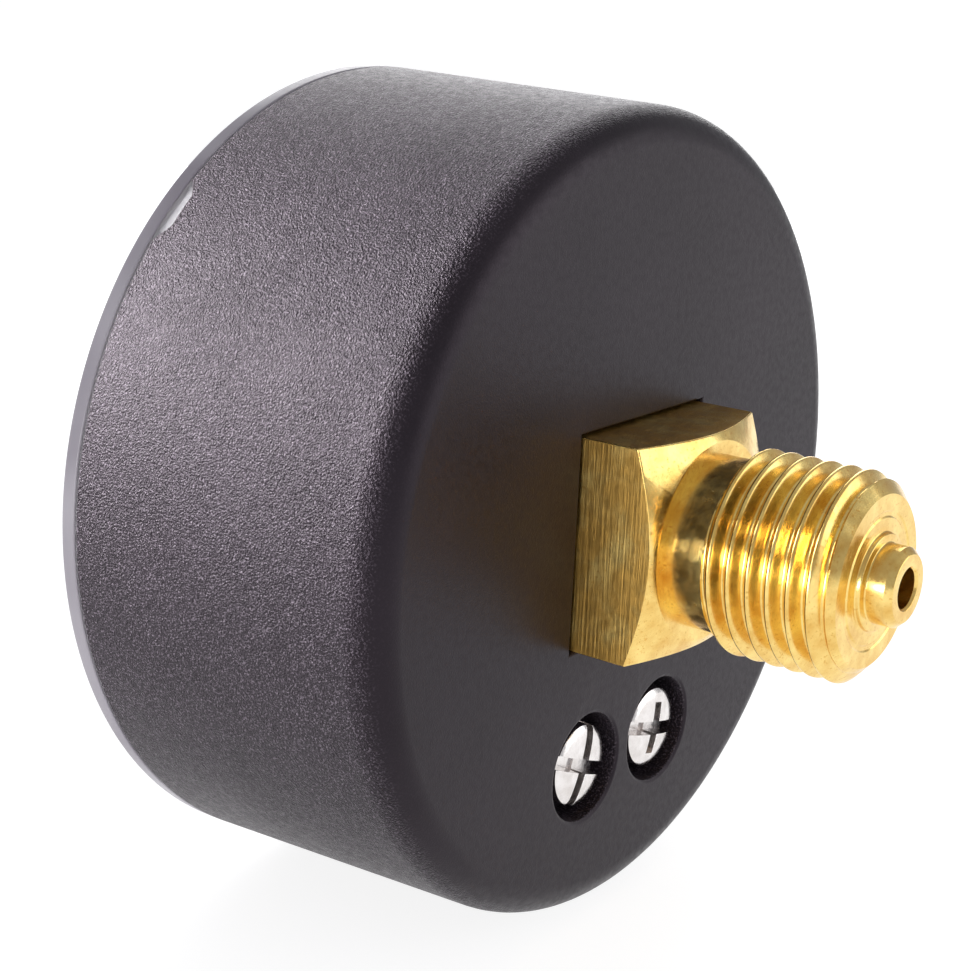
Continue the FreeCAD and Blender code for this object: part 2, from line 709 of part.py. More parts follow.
def tube_end_piece():
    """Cap on the free end of the tube, with a lug for the link."""
    margin = 2 * END_PIECE_MARGIN
    cap = coiled(
        TUBE_SECTION_THICKNESS + margin, TUBE_SECTION_WIDTH + margin,
        TUBE_END_ANGLE, END_PIECE_SWEEP,
    )
    inset = 2 * (TUBE_WALL + BRAZE_GAP)
    tongue = coiled(
        TUBE_SECTION_THICKNESS - inset, TUBE_SECTION_WIDTH - inset,
        TUBE_END_ANGLE + END_TONGUE_SWEEP, END_TONGUE_SWEEP,
    )
    root = polar(TUBE_RADIUS, TUBE_END_ANGLE - END_PIECE_SWEEP / 2)
    outline = capsule_face(root, TIP_PIVOT, LUG_ROOT_RADIUS, LINK_EYE_D / 2)
    gap = 2 * BRAZE_GAP
    tube_room = coiled(
        TUBE_SECTION_THICKNESS + gap, TUBE_SECTION_WIDTH + gap, TUBE_START_ANGLE, TUBE_SWEEP,
    )
    lug = slab(outline, GEAR_REAR, GEAR_FRONT).cut(tube_room)
    piece = fused([cap, tongue, lug])
    return bored(piece, TIP_PIVOT, LINK_PIN_D + 2 * SEAT_CLEARANCE)


def link():
    """Flat link from the tube's end piece to the sector's tail."""
    eye = LINK_EYE_D / 2
    body = fused([
        bar(TAIL_PIVOT, TIP_PIVOT, LINK_WAIST / 2, LINK_REAR, LINK_FRONT),
        rod(TAIL_PIVOT, LINK_REAR, LINK_FRONT, 2 * eye),
        rod(TIP_PIVOT, LINK_REAR, LINK_FRONT, 2 * eye),
    ])
    running = LINK_PIN_D + 2 * RUNNING_CLEARANCE
    body = bored(body, TIP_PIVOT, running)
    loose = LINK_PIN_D + 2 * OPEN_PIVOT_PLAY
    return bored(body, TAIL_PIVOT, loose)


def link_pin(point):
    """Headed pin that stands back from a plate and keeps the link on it."""
    head_front = LINK_REAR - RUNNING_CLEARANCE
    return fused([
        rod(point, head_front - LINK_PIN_HEAD, head_front, LINK_PIN_HEAD_D),
        rod(point, head_front, GEAR_FRONT, LINK_PIN_D),
    ])


# --- gears ------------------------------------------------------------------------------


def involute(angle):
    return math.tan(angle) - angle


def tooth_half_angle(teeth, radius):
    """Half the angle that a tooth covers at a radius, in radians, thinned by the backlash."""
    pressure_angle = math.radians(PRESSURE_ANGLE)
    pitch_r = GEAR_MODULE * teeth / 2
    base_r = pitch_r * math.cos(pressure_angle)
    at_radius = math.acos(base_r / max(radius, base_r))
    half = math.pi / (2 * teeth) - GEAR_BACKLASH / (4 * pitch_r)
    return half + involute(pressure_angle) - involute(at_radius)


def tooth_points(teeth, centre, root_r, tip_r):
    """Outline of one tooth, from its clockwise foot to its counterclockwise foot."""
    base_r = GEAR_MODULE * teeth / 2 * math.cos(math.radians(PRESSURE_ANGLE))
    start_r = max(root_r, base_r)
    steps = TOOTH_SIDE_STEPS
    radii = [start_r + (tip_r - start_r) * step / steps for step in range(steps + 1)]
    if root_r < base_r:
        radii = [root_r] + radii
    halves = [math.degrees(tooth_half_angle(teeth, radius)) for radius in radii]
    rising = [polar(radius, centre - half) for radius, half in zip(radii, halves)]
    falling = [polar(radius, centre + half) for radius, half in zip(radii, halves)]
    return rising + falling[::-1]


def pinion_arbor():
    """Pointer shaft with the pinion cut on it."""
    root_r = PINION_R - DEDENDUM_FACTOR * GEAR_MODULE
    tip_r = PINION_R + GEAR_MODULE
    points = []
    for tooth in range(PINION_TEETH):
        centre = SECTOR_PIVOT_ANGLE + tooth * 360 / PINION_TEETH
        points += tooth_points(PINION_TEETH, centre, root_r, tip_r)
    pinion = slab(polygon_face(points), PINION_REAR, PINION_FRONT)
    shoulder = BACK_PLATE_FRONT + PIVOT_END_PLAY
    return fused([
        rod((0, 0), BLOCK_FRONT + PIVOT_END_PLAY, shoulder, PIVOT_D),
        rod((0, 0), shoulder, PINION_REAR, ARBOR_D),
        pinion,
        rod((0, 0), PINION_FRONT, FRONT_PLATE_REAR - PIVOT_END_PLAY, ARBOR_D),
        rod((0, 0), FRONT_PLATE_REAR - PIVOT_END_PLAY, ARBOR_TIP, ARBOR_FRONT_D),
    ])


def sector_tooth_angles():
    """Angles of the cut teeth; a little over one tooth is spare past the pinion at zero."""
    pitch = 360 / SECTOR_FULL_TEETH
    last = SECTOR_PIVOT_ANGLE + 180 + SECTOR_SPARE_TEETH * pitch
    return [last - tooth * pitch for tooth in reversed(range(SECTOR_CUT_TEETH))]


def sector_rim(angles, root_r, rim_r):
    """Toothed rim about the sector's own pivot."""
    pitch = 360 / SECTOR_FULL_TEETH
    margin = SECTOR_RIM_MARGIN * pitch
    tip_r = SECTOR_R + SECTOR_TIP_FACTOR * GEAR_MODULE
    points = []
    for angle in angles:
        points += tooth_points(SECTOR_FULL_TEETH, angle, root_r, tip_r)
    start = angles[0] - margin
    end = angles[-1] + margin
    points.append(polar(root_r, end))
    for step in range(SECTOR_CUT_TEETH + 1):
        points.append(polar(rim_r, end + (start - end) * step / SECTOR_CUT_TEETH))
    points.append(polar(root_r, start))
    return slab(polygon_face(points), GEAR_REAR, GEAR_FRONT)


def sector_gear():
    """Toothed sector with two spokes, hub and a tail for the link."""
    root_r = SECTOR_R - DEDENDUM_FACTOR * GEAR_MODULE
    rim_r = root_r - SECTOR_RIM
    angles = sector_tooth_angles()
    half_pitch = 180 / SECTOR_FULL_TEETH
    spoke_end = rim_r + SECTOR_RIM / 2
    spokes = [
        bar((0, 0), polar(spoke_end, angle), SECTOR_RIM / 2, GEAR_REAR, GEAR_FRONT)
        for angle in (angles[0] + half_pitch, angles[-1] - half_pitch)
    ]
    hub = rod((0, 0), GEAR_REAR, GEAR_FRONT, SECTOR_HUB_D)
    tail_end = polar(TAIL_LENGTH, TAIL_REST_ANGLE)
    tail = slab(
        capsule_face((0, 0), tail_end, SECTOR_HUB_D / 2, LINK_EYE_D / 2), GEAR_REAR, GEAR_FRONT,
    )
    gear = fused([sector_rim(angles, root_r, rim_r), hub, tail] + spokes)
    gear.translate(Vector(SECTOR_PIVOT[0], 0, SECTOR_PIVOT[1]))
    gear = bored(gear, SECTOR_PIVOT, ARBOR_D + 2 * SEAT_CLEARANCE)
    return bored(gear, TAIL_PIVOT, LINK_PIN_D + 2 * SEAT_CLEARANCE)


def sector_arbor():
    rear = BACK_PLATE_FRONT + PIVOT_END_PLAY
    front = FRONT_PLATE_REAR - PIVOT_END_PLAY
    return fused([
        rod(SECTOR_PIVOT, BLOCK_FRONT + PIVOT_END_PLAY, rear, PIVOT_D),
        rod(SECTOR_PIVOT, rear, front, ARBOR_D),
        rod(SECTOR_PIVOT, front, FRONT_PLATE_FRONT, PIVOT_D),
    ])


# --- movement frame ------------------------------------------------------------------------


def web(points, rear, front):
    """Plate outline: a rounded bar from the first point to each of the others."""
    ring = [
        bar(a, b, WEB_HALF_WIDTH, rear, front)
        for a, b in zip(points, points[1:] + points[:1])
    ]
    spokes = [bar((0, 0), point, WEB_HALF_WIDTH, rear, front) for point in points]
    return fused(ring + spokes)


def back_plate():
    points = [PILLAR_POINTS[0], PILLAR_POINTS[1], SECTOR_PIVOT, PILLAR_POINTS[2]]
    plate = web(points + MOVEMENT_SCREW_POINTS[1:], BLOCK_FRONT, BACK_PLATE_FRONT)
    tab = bar(
        PILLAR_POINTS[0], MOVEMENT_SCREW_POINTS[0], WEB_HALF_WIDTH, BLOCK_FRONT, BACK_PLATE_FRONT,
    )
    plate = fused([plate, tab])
    running = PIVOT_D + 2 * RUNNING_CLEARANCE
    rear = BLOCK_FRONT - OVERCUT
    front = BACK_PLATE_FRONT + OVERCUT
    plate = drilled(plate, [(0, 0), SECTOR_PIVOT], rear, front, running)
    clear = MOVEMENT_SCREW_D + 2 * SCREW_HOLE_CLEARANCE
    return drilled(plate, MOVEMENT_SCREW_POINTS, rear, front, clear)


def front_plate():
    points = [
        PILLAR_POINTS[0], DIAL_POST_POINTS[0], PILLAR_POINTS[1],
        SECTOR_PIVOT, DIAL_POST_POINTS[1], PILLAR_POINTS[2],
    ]
    plate = web(points, FRONT_PLATE_REAR, FRONT_PLATE_FRONT)
    rear = FRONT_PLATE_REAR - OVERCUT
    front = FRONT_PLATE_FRONT + OVERCUT
    running = 2 * RUNNING_CLEARANCE
    plate = drilled(plate, [(0, 0)], rear, front, ARBOR_FRONT_D + running)
    plate = drilled(plate, [SECTOR_PIVOT], rear, front, PIVOT_D + running)
    clear = PLATE_SCREW_D + 2 * THREAD_CLEARANCE
    plate = drilled(plate, PILLAR_POINTS, rear, front, clear)
    tapped = DIAL_SCREW_D + 2 * THREAD_CLEARANCE
    return drilled(plate, DIAL_POST_POINTS, rear, front, tapped)


def pillar(point):
    """Distance pillar, tapped at its front end."""
    body = rod(point, BACK_PLATE_FRONT, FRONT_PLATE_REAR, PILLAR_D)
    depth = FRONT_PLATE_REAR - PLATE_SCREW_GRIP - SCREW_END_GAP
    tapped = PLATE_SCREW_D + 2 * THREAD_CLEARANCE
    return drilled(body, [point], depth, FRONT_PLATE_REAR + OVERCUT, tapped)


def movement_pillars():
    return [pillar(point) for point in PILLAR_POINTS]


def pillar_screws():
    return [
        slotted_screw(
            point, FRONT_PLATE_FRONT, PLATE_SCREW_HEAD_D, PLATE_SCREW_HEAD,
            PLATE_SCREW_D, PLATE_THICKNESS + PLATE_SCREW_GRIP,
        )
        for point in PILLAR_POINTS
    ]


def movement_screws():
    return [
        slotted_screw(
            point, BACK_PLATE_FRONT, MOVEMENT_SCREW_HEAD_D, MOVEMENT_SCREW_HEAD,
            MOVEMENT_SCREW_D, PLATE_THICKNESS + MOVEMENT_SCREW_GRIP - SCREW_END_GAP,
        )
        for point in MOVEMENT_SCREW_POINTS
    ]


# --- hairspring -----------------------------------------------------------------------------


def hairspring_collet():
    ring = rod((0, 0), COLLET_REAR, COLLET_FRONT, COLLET_D)
    hole = ARBOR_D + 2 * SEAT_CLEARANCE
    return ring.cut(rod((0, 0), COLLET_REAR - OVERCUT, COLLET_FRONT + OVERCUT, hole))


def spiral_edge(offset):
    """Spiral curve from the collet outwards, shifted sideways by an offset."""
    inner_r = COLLET_D / 2 + SEAT_CLEARANCE + HAIRSPRING_STRIP / 2
    steps = HAIRSPRING_TURNS * HAIRSPRING_POINTS_PER_TURN
    points = []
    for step in range(steps + 1):
        share = step / steps
        radius = inner_r + (HAIRSPRING_OUTER_R - inner_r) * share + offset
        angle = HAIRSPRING_END_ANGLE - 360 * HAIRSPRING_TURNS * (1 - share)
        x, z = polar(radius, angle)
        points.append(Vector(x, 0, z))
    curve = Part.BSplineCurve()
    curve.interpolate(points)
    return curve.toShape()


def hairspring():
    inner = spiral_edge(-HAIRSPRING_STRIP / 2)
    outer = spiral_edge(HAIRSPRING_STRIP / 2)
    start = Part.makeLine(inner.firstVertex().Point, outer.firstVertex().Point)
    end = Part.makeLine(inner.lastVertex().Point, outer.lastVertex().Point)
    wire = Part.Wire([inner, end, outer, start])
    middle = (COLLET_REAR + COLLET_FRONT) / 2
    half = HAIRSPRING_WIDTH / 2
    return slab(Part.Face(wire), middle - half, middle + half)


def hairspring_stud():
    """Post on the front plate that holds the outer end of the hairspring."""
    reach = HAIRSPRING_OUTER_R + HAIRSPRING_STRIP / 2 + SEAT_CLEARANCE + STUD_D / 2
    return rod(polar(reach, HAIRSPRING_END_ANGLE), COLLET_REAR, FRONT_PLATE_REAR, STUD_D)


# --- dial and pointer --------------------------------------------------------------------------


def stop_pin_point():
    """The pin stands just behind the pointer's edge when the pointer is at zero."""
    share = STOP_PIN_RADIUS / POINTER_LENGTH
    half = POINTER_ROOT_HALF + (POINTER_TIP_HALF - POINTER_ROOT_HALF) * share
    offset = half + STOP_CLEARANCE + STOP_PIN_D / 2
    return shifted(polar(STOP_PIN_RADIUS, ZERO_ANGLE), offset, ZERO_ANGLE + 90)


def dial():
    disc = rod((0, 0), DIAL_REAR, DIAL_FRONT, 2 * DIAL_RADIUS)
    rear = DIAL_REAR - OVERCUT
    front = DIAL_FRONT + OVERCUT
    disc = drilled(disc, [(0, 0)], rear, front, DIAL_CENTRE_HOLE_D)
    disc = drilled(disc, DIAL_POST_POINTS, rear, front, DIAL_SCREW_D + 2 * SCREW_HOLE_CLEARANCE)
    return drilled(disc, [stop_pin_point()], rear, front, STOP_PIN_D + 2 * SEAT_CLEARANCE)


def dial_posts():
    tapped = DIAL_SCREW_D + 2 * THREAD_CLEARANCE
    return [
        drilled(
            rod(point, FRONT_PLATE_FRONT, DIAL_REAR, DIAL_POST_D), [point],
            FRONT_PLATE_FRONT - OVERCUT, DIAL_REAR + OVERCUT, tapped,
        )
        for point in DIAL_POST_POINTS
    ]


def dial_screws():
    length = DIAL_FRONT - FRONT_PLATE_FRONT + DIAL_SCREW_GRIP
    return [
        slotted_screw(
            point, DIAL_FRONT, DIAL_SCREW_HEAD_D, DIAL_SCREW_HEAD, DIAL_SCREW_D, length,
        )
        for point in DIAL_POST_POINTS
    ]


def stop_pin():
    return rod(stop_pin_point(), DIAL_REAR, POINTER_FRONT + STOP_PIN_ABOVE_POINTER, STOP_PIN_D)


def pointer():
    """Tapered pointer with a wide tail, pressed on the hub."""
    shoulder = POINTER_LENGTH - POINTER_TIP_LENGTH
    outline = [
        (POINTER_LENGTH, 0.0),
        (shoulder, POINTER_TIP_HALF),
        (0.0, POINTER_ROOT_HALF),
        (-POINTER_TAIL, POINTER_TAIL_HALF),
        (-POINTER_TAIL, -POINTER_TAIL_HALF),
        (0.0, -POINTER_ROOT_HALF),
        (shoulder, -POINTER_TIP_HALF),
    ]
    blade = slab(polygon_face(outline), POINTER_REAR, POINTER_FRONT)
    disc = rod((0, 0), POINTER_REAR, POINTER_FRONT, HUB_D + 2 * POINTER_BOSS_MARGIN)
    whole = fused([blade, disc])
    hole = HUB_D + 2 * SEAT_CLEARANCE
    whole = whole.cut(rod((0, 0), POINTER_REAR - OVERCUT, POINTER_FRONT + OVERCUT, hole))
    whole.rotate(ORIGIN, COUNTERCLOCKWISE, ZERO_ANGLE)
    return whole


def pointer_hub():
    hub = rod((0, 0), HUB_REAR, HUB_FRONT, HUB_D)
    hole = ARBOR_FRONT_D + 2 * SEAT_CLEARANCE
    return drilled(hub, [(0, 0)], HUB_REAR - OVERCUT, HUB_FRONT + OVERCUT, hole)


# --- output ------------------------------------------------------------------------------------

NODES = {
    "case": case,
    "window": window,
    "case_screws": case_screws,
    "socket": socket,
    "passage_plug": passage_plug,
    "bourdon_tube": bourdon_tube,
    "tube_end_piece": tube_end_piece,
    "tip_link_pin": lambda: link_pin(TIP_PIVOT),
    "link": link,
    "tail_link_pin": lambda: link_pin(TAIL_PIVOT),
    "sector_gear": sector_gear,
    "sector_arbor": sector_arbor,
    "pinion_arbor": pinion_arbor,
    "hairspring": hairspring,
    "hairspring_collet": hairspring_collet,
    "hairspring_stud": hairspring_stud,
    "movement_back_plate": back_plate,
    "movement_front_plate": front_plate,
    "movement_pillars": movement_pillars,
    "pillar_screws": pillar_screws,
    "movement_screws": movement_screws,
    "dial": dial,
    "dial_posts": dial_posts,
    "dial_screws": dial_screws,
    "stop_pin": stop_pin,
    "pointer": pointer,
    "pointer_hub": pointer_hub,
}


def write(name, made):
    """One STEP file per node; a node of like pieces keeps them as separate solids."""
    solids = []
    for shape in made if isinstance(made, list) else [made]:
        solids += shape.Solids
    expected = len(made) if isinstance(made, list) else 1
    valid = all(solid.isValid() and solid.Volume > 0 for solid in solids)
    if len(solids) != expected or not valid:
        raise ValueError(f"{name}: {len(solids)} solids, valid {valid}")
    whole = solids[0] if expected == 1 else Part.makeCompound(solids)
    whole.exportStep(os.path.join("parts", name + ".step"))
    print(f"{name}: {expected} solid(s), {whole.Volume:.2f} mm3")


os.makedirs("parts", exist_ok=True)
for node_name, make in NODES.items():
    write(node_name, make())
print(f"tip travels at {TRAVEL_ANGLE % 360:.6f} degrees")
for place, point in [("sector", SECTOR_PIVOT), ("tail", TAIL_PIVOT), ("tip", TIP_PIVOT)]:
    print(f"{place} pivot x {point[0]:.6f} z {point[1]:.6f}")
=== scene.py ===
import bmesh
import bpy
import json
import math
from mathutils import Matrix, Vector


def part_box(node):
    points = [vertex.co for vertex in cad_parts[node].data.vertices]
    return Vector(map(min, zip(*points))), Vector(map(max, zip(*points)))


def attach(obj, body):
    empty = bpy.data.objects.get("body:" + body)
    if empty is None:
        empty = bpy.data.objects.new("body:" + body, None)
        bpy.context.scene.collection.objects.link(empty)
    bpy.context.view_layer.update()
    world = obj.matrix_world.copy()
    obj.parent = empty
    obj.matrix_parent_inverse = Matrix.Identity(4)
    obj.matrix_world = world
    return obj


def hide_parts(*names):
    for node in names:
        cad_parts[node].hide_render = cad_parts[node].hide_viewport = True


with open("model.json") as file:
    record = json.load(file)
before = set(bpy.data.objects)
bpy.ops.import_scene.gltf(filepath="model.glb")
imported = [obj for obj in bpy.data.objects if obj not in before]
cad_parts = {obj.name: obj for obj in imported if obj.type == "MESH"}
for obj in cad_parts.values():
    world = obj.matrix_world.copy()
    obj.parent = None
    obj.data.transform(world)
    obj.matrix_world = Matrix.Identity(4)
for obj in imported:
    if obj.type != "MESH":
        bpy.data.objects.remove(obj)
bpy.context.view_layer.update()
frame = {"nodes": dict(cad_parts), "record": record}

# Pressure gauge, seen from behind. Metres, in the frame of the CAD model: the axis is Y,
# the connection points along +Y, the dial faces -Y and +Z is up.

MM = 0.001

# --- sizes, in millimetres where they say MM ----------------------------------

THREAD_MAJOR_R = 13.157 / 2 * MM
THREAD_MINOR_R = 11.445 / 2 * MM
THREAD_PITCH = 1.337 * MM
THREAD_LENGTH = 9.0 * MM
THREAD_FLANK_ANGLE = 27.5
THREAD_CREST_BLEND = 0.12
THREAD_END_STEP = 0.32 * MM
THREAD_END_SLOPE = 1.15
THREAD_FOOT_SLOPE = 1.5
THREAD_ROWS_PER_PITCH = 40
NECK_R = 5.6 * MM
NECK_SUNK = 4.0 * MM
NECK_SHOWN = 1.2 * MM
FACE_RING_OUTER_R = 4.40 * MM
FACE_RING_INNER_R = 3.93 * MM
FACE_RING_SIDE = 0.12 * MM
FACE_RING_DEPTH = 0.07 * MM
SPIGOT_R = 2.5 * MM
SPIGOT_FOOT_R = 3.1 * MM
SPIGOT_FOOT = 0.35 * MM
SPIGOT_CHAMFER = 0.40 * MM
BORE_R = 1.25 * MM
BORE_DEPTH = 12.0 * MM
BORE_POINT = 0.6 * MM
BORE_CHAMFER = 0.16 * MM
SQUARE_HALF = 7.0 * MM
SQUARE_FACE_R = 6.5 * MM
SQUARE_SLOPE = math.tan(math.radians(25))
SQUARE_STANDOUT = 5.5 * MM
SQUARE_SUNK = 5.5 * MM
SQUARE_EDGE = 0.08 * MM
ARM_DEPTH = 11.5 * MM
ARM_TOP = 9.0 * MM
BOSS_HALF = 5.0 * MM
BOSS_NEAR = 11.0 * MM
BOSS_FAR = 18.3 * MM
BOSS_TOP = -15.9 * MM
BLOCK_EDGE = 0.2 * MM
SCREW_SPACING = 8.8 * MM
SCREW_DROP = 15.8 * MM
SCREW_HEAD_R = 2.8 * MM
SCREW_HEAD_HEIGHT = 2.2 * MM
SCREW_HEAD_EDGE = 1.6 * MM
SCREW_SHANK_R = 1.5 * MM
SCREW_SHANK = 5.8 * MM
SCREW_CROWN_STEPS = 8
SCREW_CROWN_FULLNESS = 0.7
SCREW_SLOT_DEPTH = 1.15 * MM
SCREW_CROSS_EXTRA = 0.2 * MM
SCREW_SLOT_HALVES = (0.42 * MM, 0.50 * MM)
SCREW_CROSS_HALVES = (0.34 * MM, 0.48 * MM)
SCREW_SLOT_REACH = 1.2 * SCREW_HEAD_R
SCREW_CROSS_REACHES = (1.35 * SCREW_HEAD_R, 1.9 * MM)
SCREW_CROSS_FLOOR_SHARE = 0.75
SLOT_TOP_SHARE = 1.15
SCREW_EDGE = 0.05 * MM
SCREW_TURNS = (-21.0, -14.0)
SCREW_RECESS = 0.18 * MM
CASE_DEPTH = 23.0 * MM
CASE_DRAFT = math.tan(math.radians(2.12))
SIDE_WALL = 2.0 * MM
REAR_WALL = 2.5 * MM
REAR_EDGE_R = 2.4 * MM
SEAT_DEPTH = 5.5 * MM
HOLE_HALF = 7.18 * MM
HOLE_EASE = 0.14 * MM
HOLE_EASE_MIDDLE = (0.04 * MM, 0.05 * MM)
PAD_HALF = 9.5 * MM
PAD_LOW = -20.5 * MM
PAD_HIGH = 10.0 * MM
PAD_LAP = 0.3 * MM
WELL_R = 3.675 * MM
WELL_DEPTH = 2.4 * MM
WELL_ROUNDING = 0.3 * MM
SCREW_HOLE_R = 1.7 * MM
NOTCH_ANGLE = 45.0
NOTCH_HALF = 2.4 * MM
NOTCH_FLOOR_HALF = 1.2 * MM
NOTCH_DEPTH = 0.9 * MM
NOTCH_SIDE_EASE = 0.1 * MM
NOTCH_FLOOR_EASE = 0.15 * MM
NOTCH_FLOOR_RISE = 0.08 * MM
NOTCH_MOUTH_EASE = 0.3 * MM
WINDOW_GAP = 0.15 * MM
WINDOW_FLANGE = 1.05 * MM
WINDOW_BEVEL = 1.3 * MM
SKIRT_WALL = 1.2 * MM
SKIRT_LENGTH = 3.3 * MM
SKIRT_GAP = 0.12 * MM
BEAD_DROP = 1.4 * MM
BEAD_HALF = 0.5 * MM
BEAD = 0.13 * MM
PRINT = 0.02 * MM
ZERO_ANGLE = 225.0
SCALE_SWEEP = 270.0
LATHE_STEPS = 256
CASE_STEPS = 384
CONE_STEPS = 240
WELL_STEPS = 128
HUB_STEPS = 128
SCREW_STEPS = 96
SAME_POINT = 1e-8
ON_AXIS = 1e-9

# --- places read from the frame -----------------------------------------------

case_low, case_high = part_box("case")
socket_low, socket_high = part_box("socket")
dial_low, dial_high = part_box("dial")
pointer_low, pointer_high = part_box("pointer")
hub_low, hub_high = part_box("pointer_hub")
REAR_Y = case_high.y
CASE_R = case_high.x
SPIGOT_LENGTH = socket_high.y
DIAL_Y = dial_low.y
DIAL_R = dial_high.x
WINDOW_FRONT_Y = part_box("window")[0].y


# --- mesh helpers -------------------------------------------------------------


def new_object(name, mesh):
    obj = bpy.data.objects.new(name, mesh)
    bpy.context.scene.collection.objects.link(obj)
    return obj


def from_bmesh(name, bm):
    bmesh.ops.remove_doubles(bm, verts=bm.verts, dist=SAME_POINT)
    bmesh.ops.recalc_face_normals(bm, faces=bm.faces)
    mesh = bpy.data.meshes.new(name)
    bm.to_mesh(mesh)
    bm.free()
    return new_object(name, mesh)


def rounded(corners, steps):
    """Outline of (radius, y, corner radius) corners with each corner rounded to an arc."""
    points = []
    for index, (r, y, corner_r) in enumerate(corners):
        here = Vector((r, y))
        if corner_r <= 0 or index in (0, len(corners) - 1):
            points.append(here)
            continue
        before = Vector(corners[index - 1][:2]) - here
        after = Vector(corners[index + 1][:2]) - here
        half = before.angle(after) / 2
        reach = corner_r / math.tan(half)
        start = here + before.normalized() * reach
        end = here + after.normalized() * reach
        inward = (before.normalized() + after.normalized()).normalized()
        centre = here + inward * corner_r / math.sin(half)
        first = start - centre
        sweep = first.angle_signed(end - centre)
        for step in range(steps + 1):
            turned = Matrix.Rotation(-sweep * step / steps, 2) @ first
            points.append(centre + turned)
    return points


def lathe(name, outline, segments=LATHE_STEPS, centre=(0.0, 0.0)):
    """Closed solid of revolution about a line along Y through centre (x, z)."""
    bm = bmesh.new()
    rings = []
    for r, y in outline:
        if r < ON_AXIS:
            rings.append([bm.verts.new((centre[0], y, centre[1]))])
            continue
        ring = []
        for step in range(segments):
            angle = 2 * math.pi * step / segments
            place = (centre[0] + r * math.cos(angle), y, centre[1] + r * math.sin(angle))
            ring.append(bm.verts.new(place))
        rings.append(ring)
    skin_rings(bm, rings, segments)
    return from_bmesh(name, bm)


def skin_rings(bm, rings, segments):
    """Faces between neighbouring rings; a ring of one point closes the end."""
    for lower, upper in zip(rings, rings[1:]):
        for step in range(segments):
            following = (step + 1) % segments
            corners = [lower[step % len(lower)], lower[following % len(lower)]]
            corners += [upper[following % len(upper)], upper[step % len(upper)]]
            unique = list(dict.fromkeys(corners))
            if len(unique) > 2:
                bm.faces.new(unique)


def block(name, low, high):
    bm = bmesh.new()
    bmesh.ops.create_cube(bm, size=1.0)
    low, high = Vector(low), Vector(high)
    for vert in bm.verts:
        for axis in range(3):
            vert.co[axis] = high[axis] if vert.co[axis] > 0 else low[axis]
    return from_bmesh(name, bm)


def applied(obj):
    """Bakes the modifiers of an object into its mesh."""
    graph = bpy.context.evaluated_depsgraph_get()
    mesh = bpy.data.meshes.new_from_object(obj.evaluated_get(graph))
    obj.modifiers.clear()
    obj.data = mesh
    return obj


def combine(obj, other, operation):
    """Exact boolean of two solids; the second one is used up."""
    modifier = obj.modifiers.new("combine", "BOOLEAN")
    modifier.operation = operation
    modifier.solver = "EXACT"
    modifier.object = other
    applied(obj)
    bpy.data.objects.remove(other)
    return obj


def bevel(obj, width, segments=2, angle=35):
    modifier = obj.modifiers.new("bevel", "BEVEL")
    modifier.width = width
    modifier.segments = segments
    modifier.limit_method = "ANGLE"
    modifier.angle_limit = math.radians(angle)
    modifier.harden_normals = False
    return applied(obj)


def smooth(obj, angle):
    """Smooth shading that keeps edges sharper than an angle, with flats kept flat."""
    bm = bmesh.new()
    bm.from_mesh(obj.data)
    bmesh.ops.remove_doubles(bm, verts=bm.verts, dist=10 * SAME_POINT)
    bmesh.ops.dissolve_degenerate(bm, edges=bm.edges, dist=SAME_POINT)
    limit = math.radians(angle)
    for face in bm.faces:
        face.smooth = True
    for edge in bm.edges:
        edge.smooth = len(edge.link_faces) == 2 and edge.calc_face_angle(0) < limit
    bm.to_mesh(obj.data)
    bm.free()
    modifier = obj.modifiers.new("flat faces", "WEIGHTED_NORMAL")
    modifier.mode = "FACE_AREA"
    modifier.weight = 60
    modifier.keep_sharp = True
    return obj


def dress(obj, material, body, replaces=()):
    """Gives a piece its material and the CAD body it rides on, and hides the CAD nodes it
    replaces.
    """
    obj.data.materials.clear()
    obj.data.materials.append(material)
    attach(obj, body)
    if replaces:
        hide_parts(*replaces)
    return obj


# --- node helpers -------------------------------------------------------------


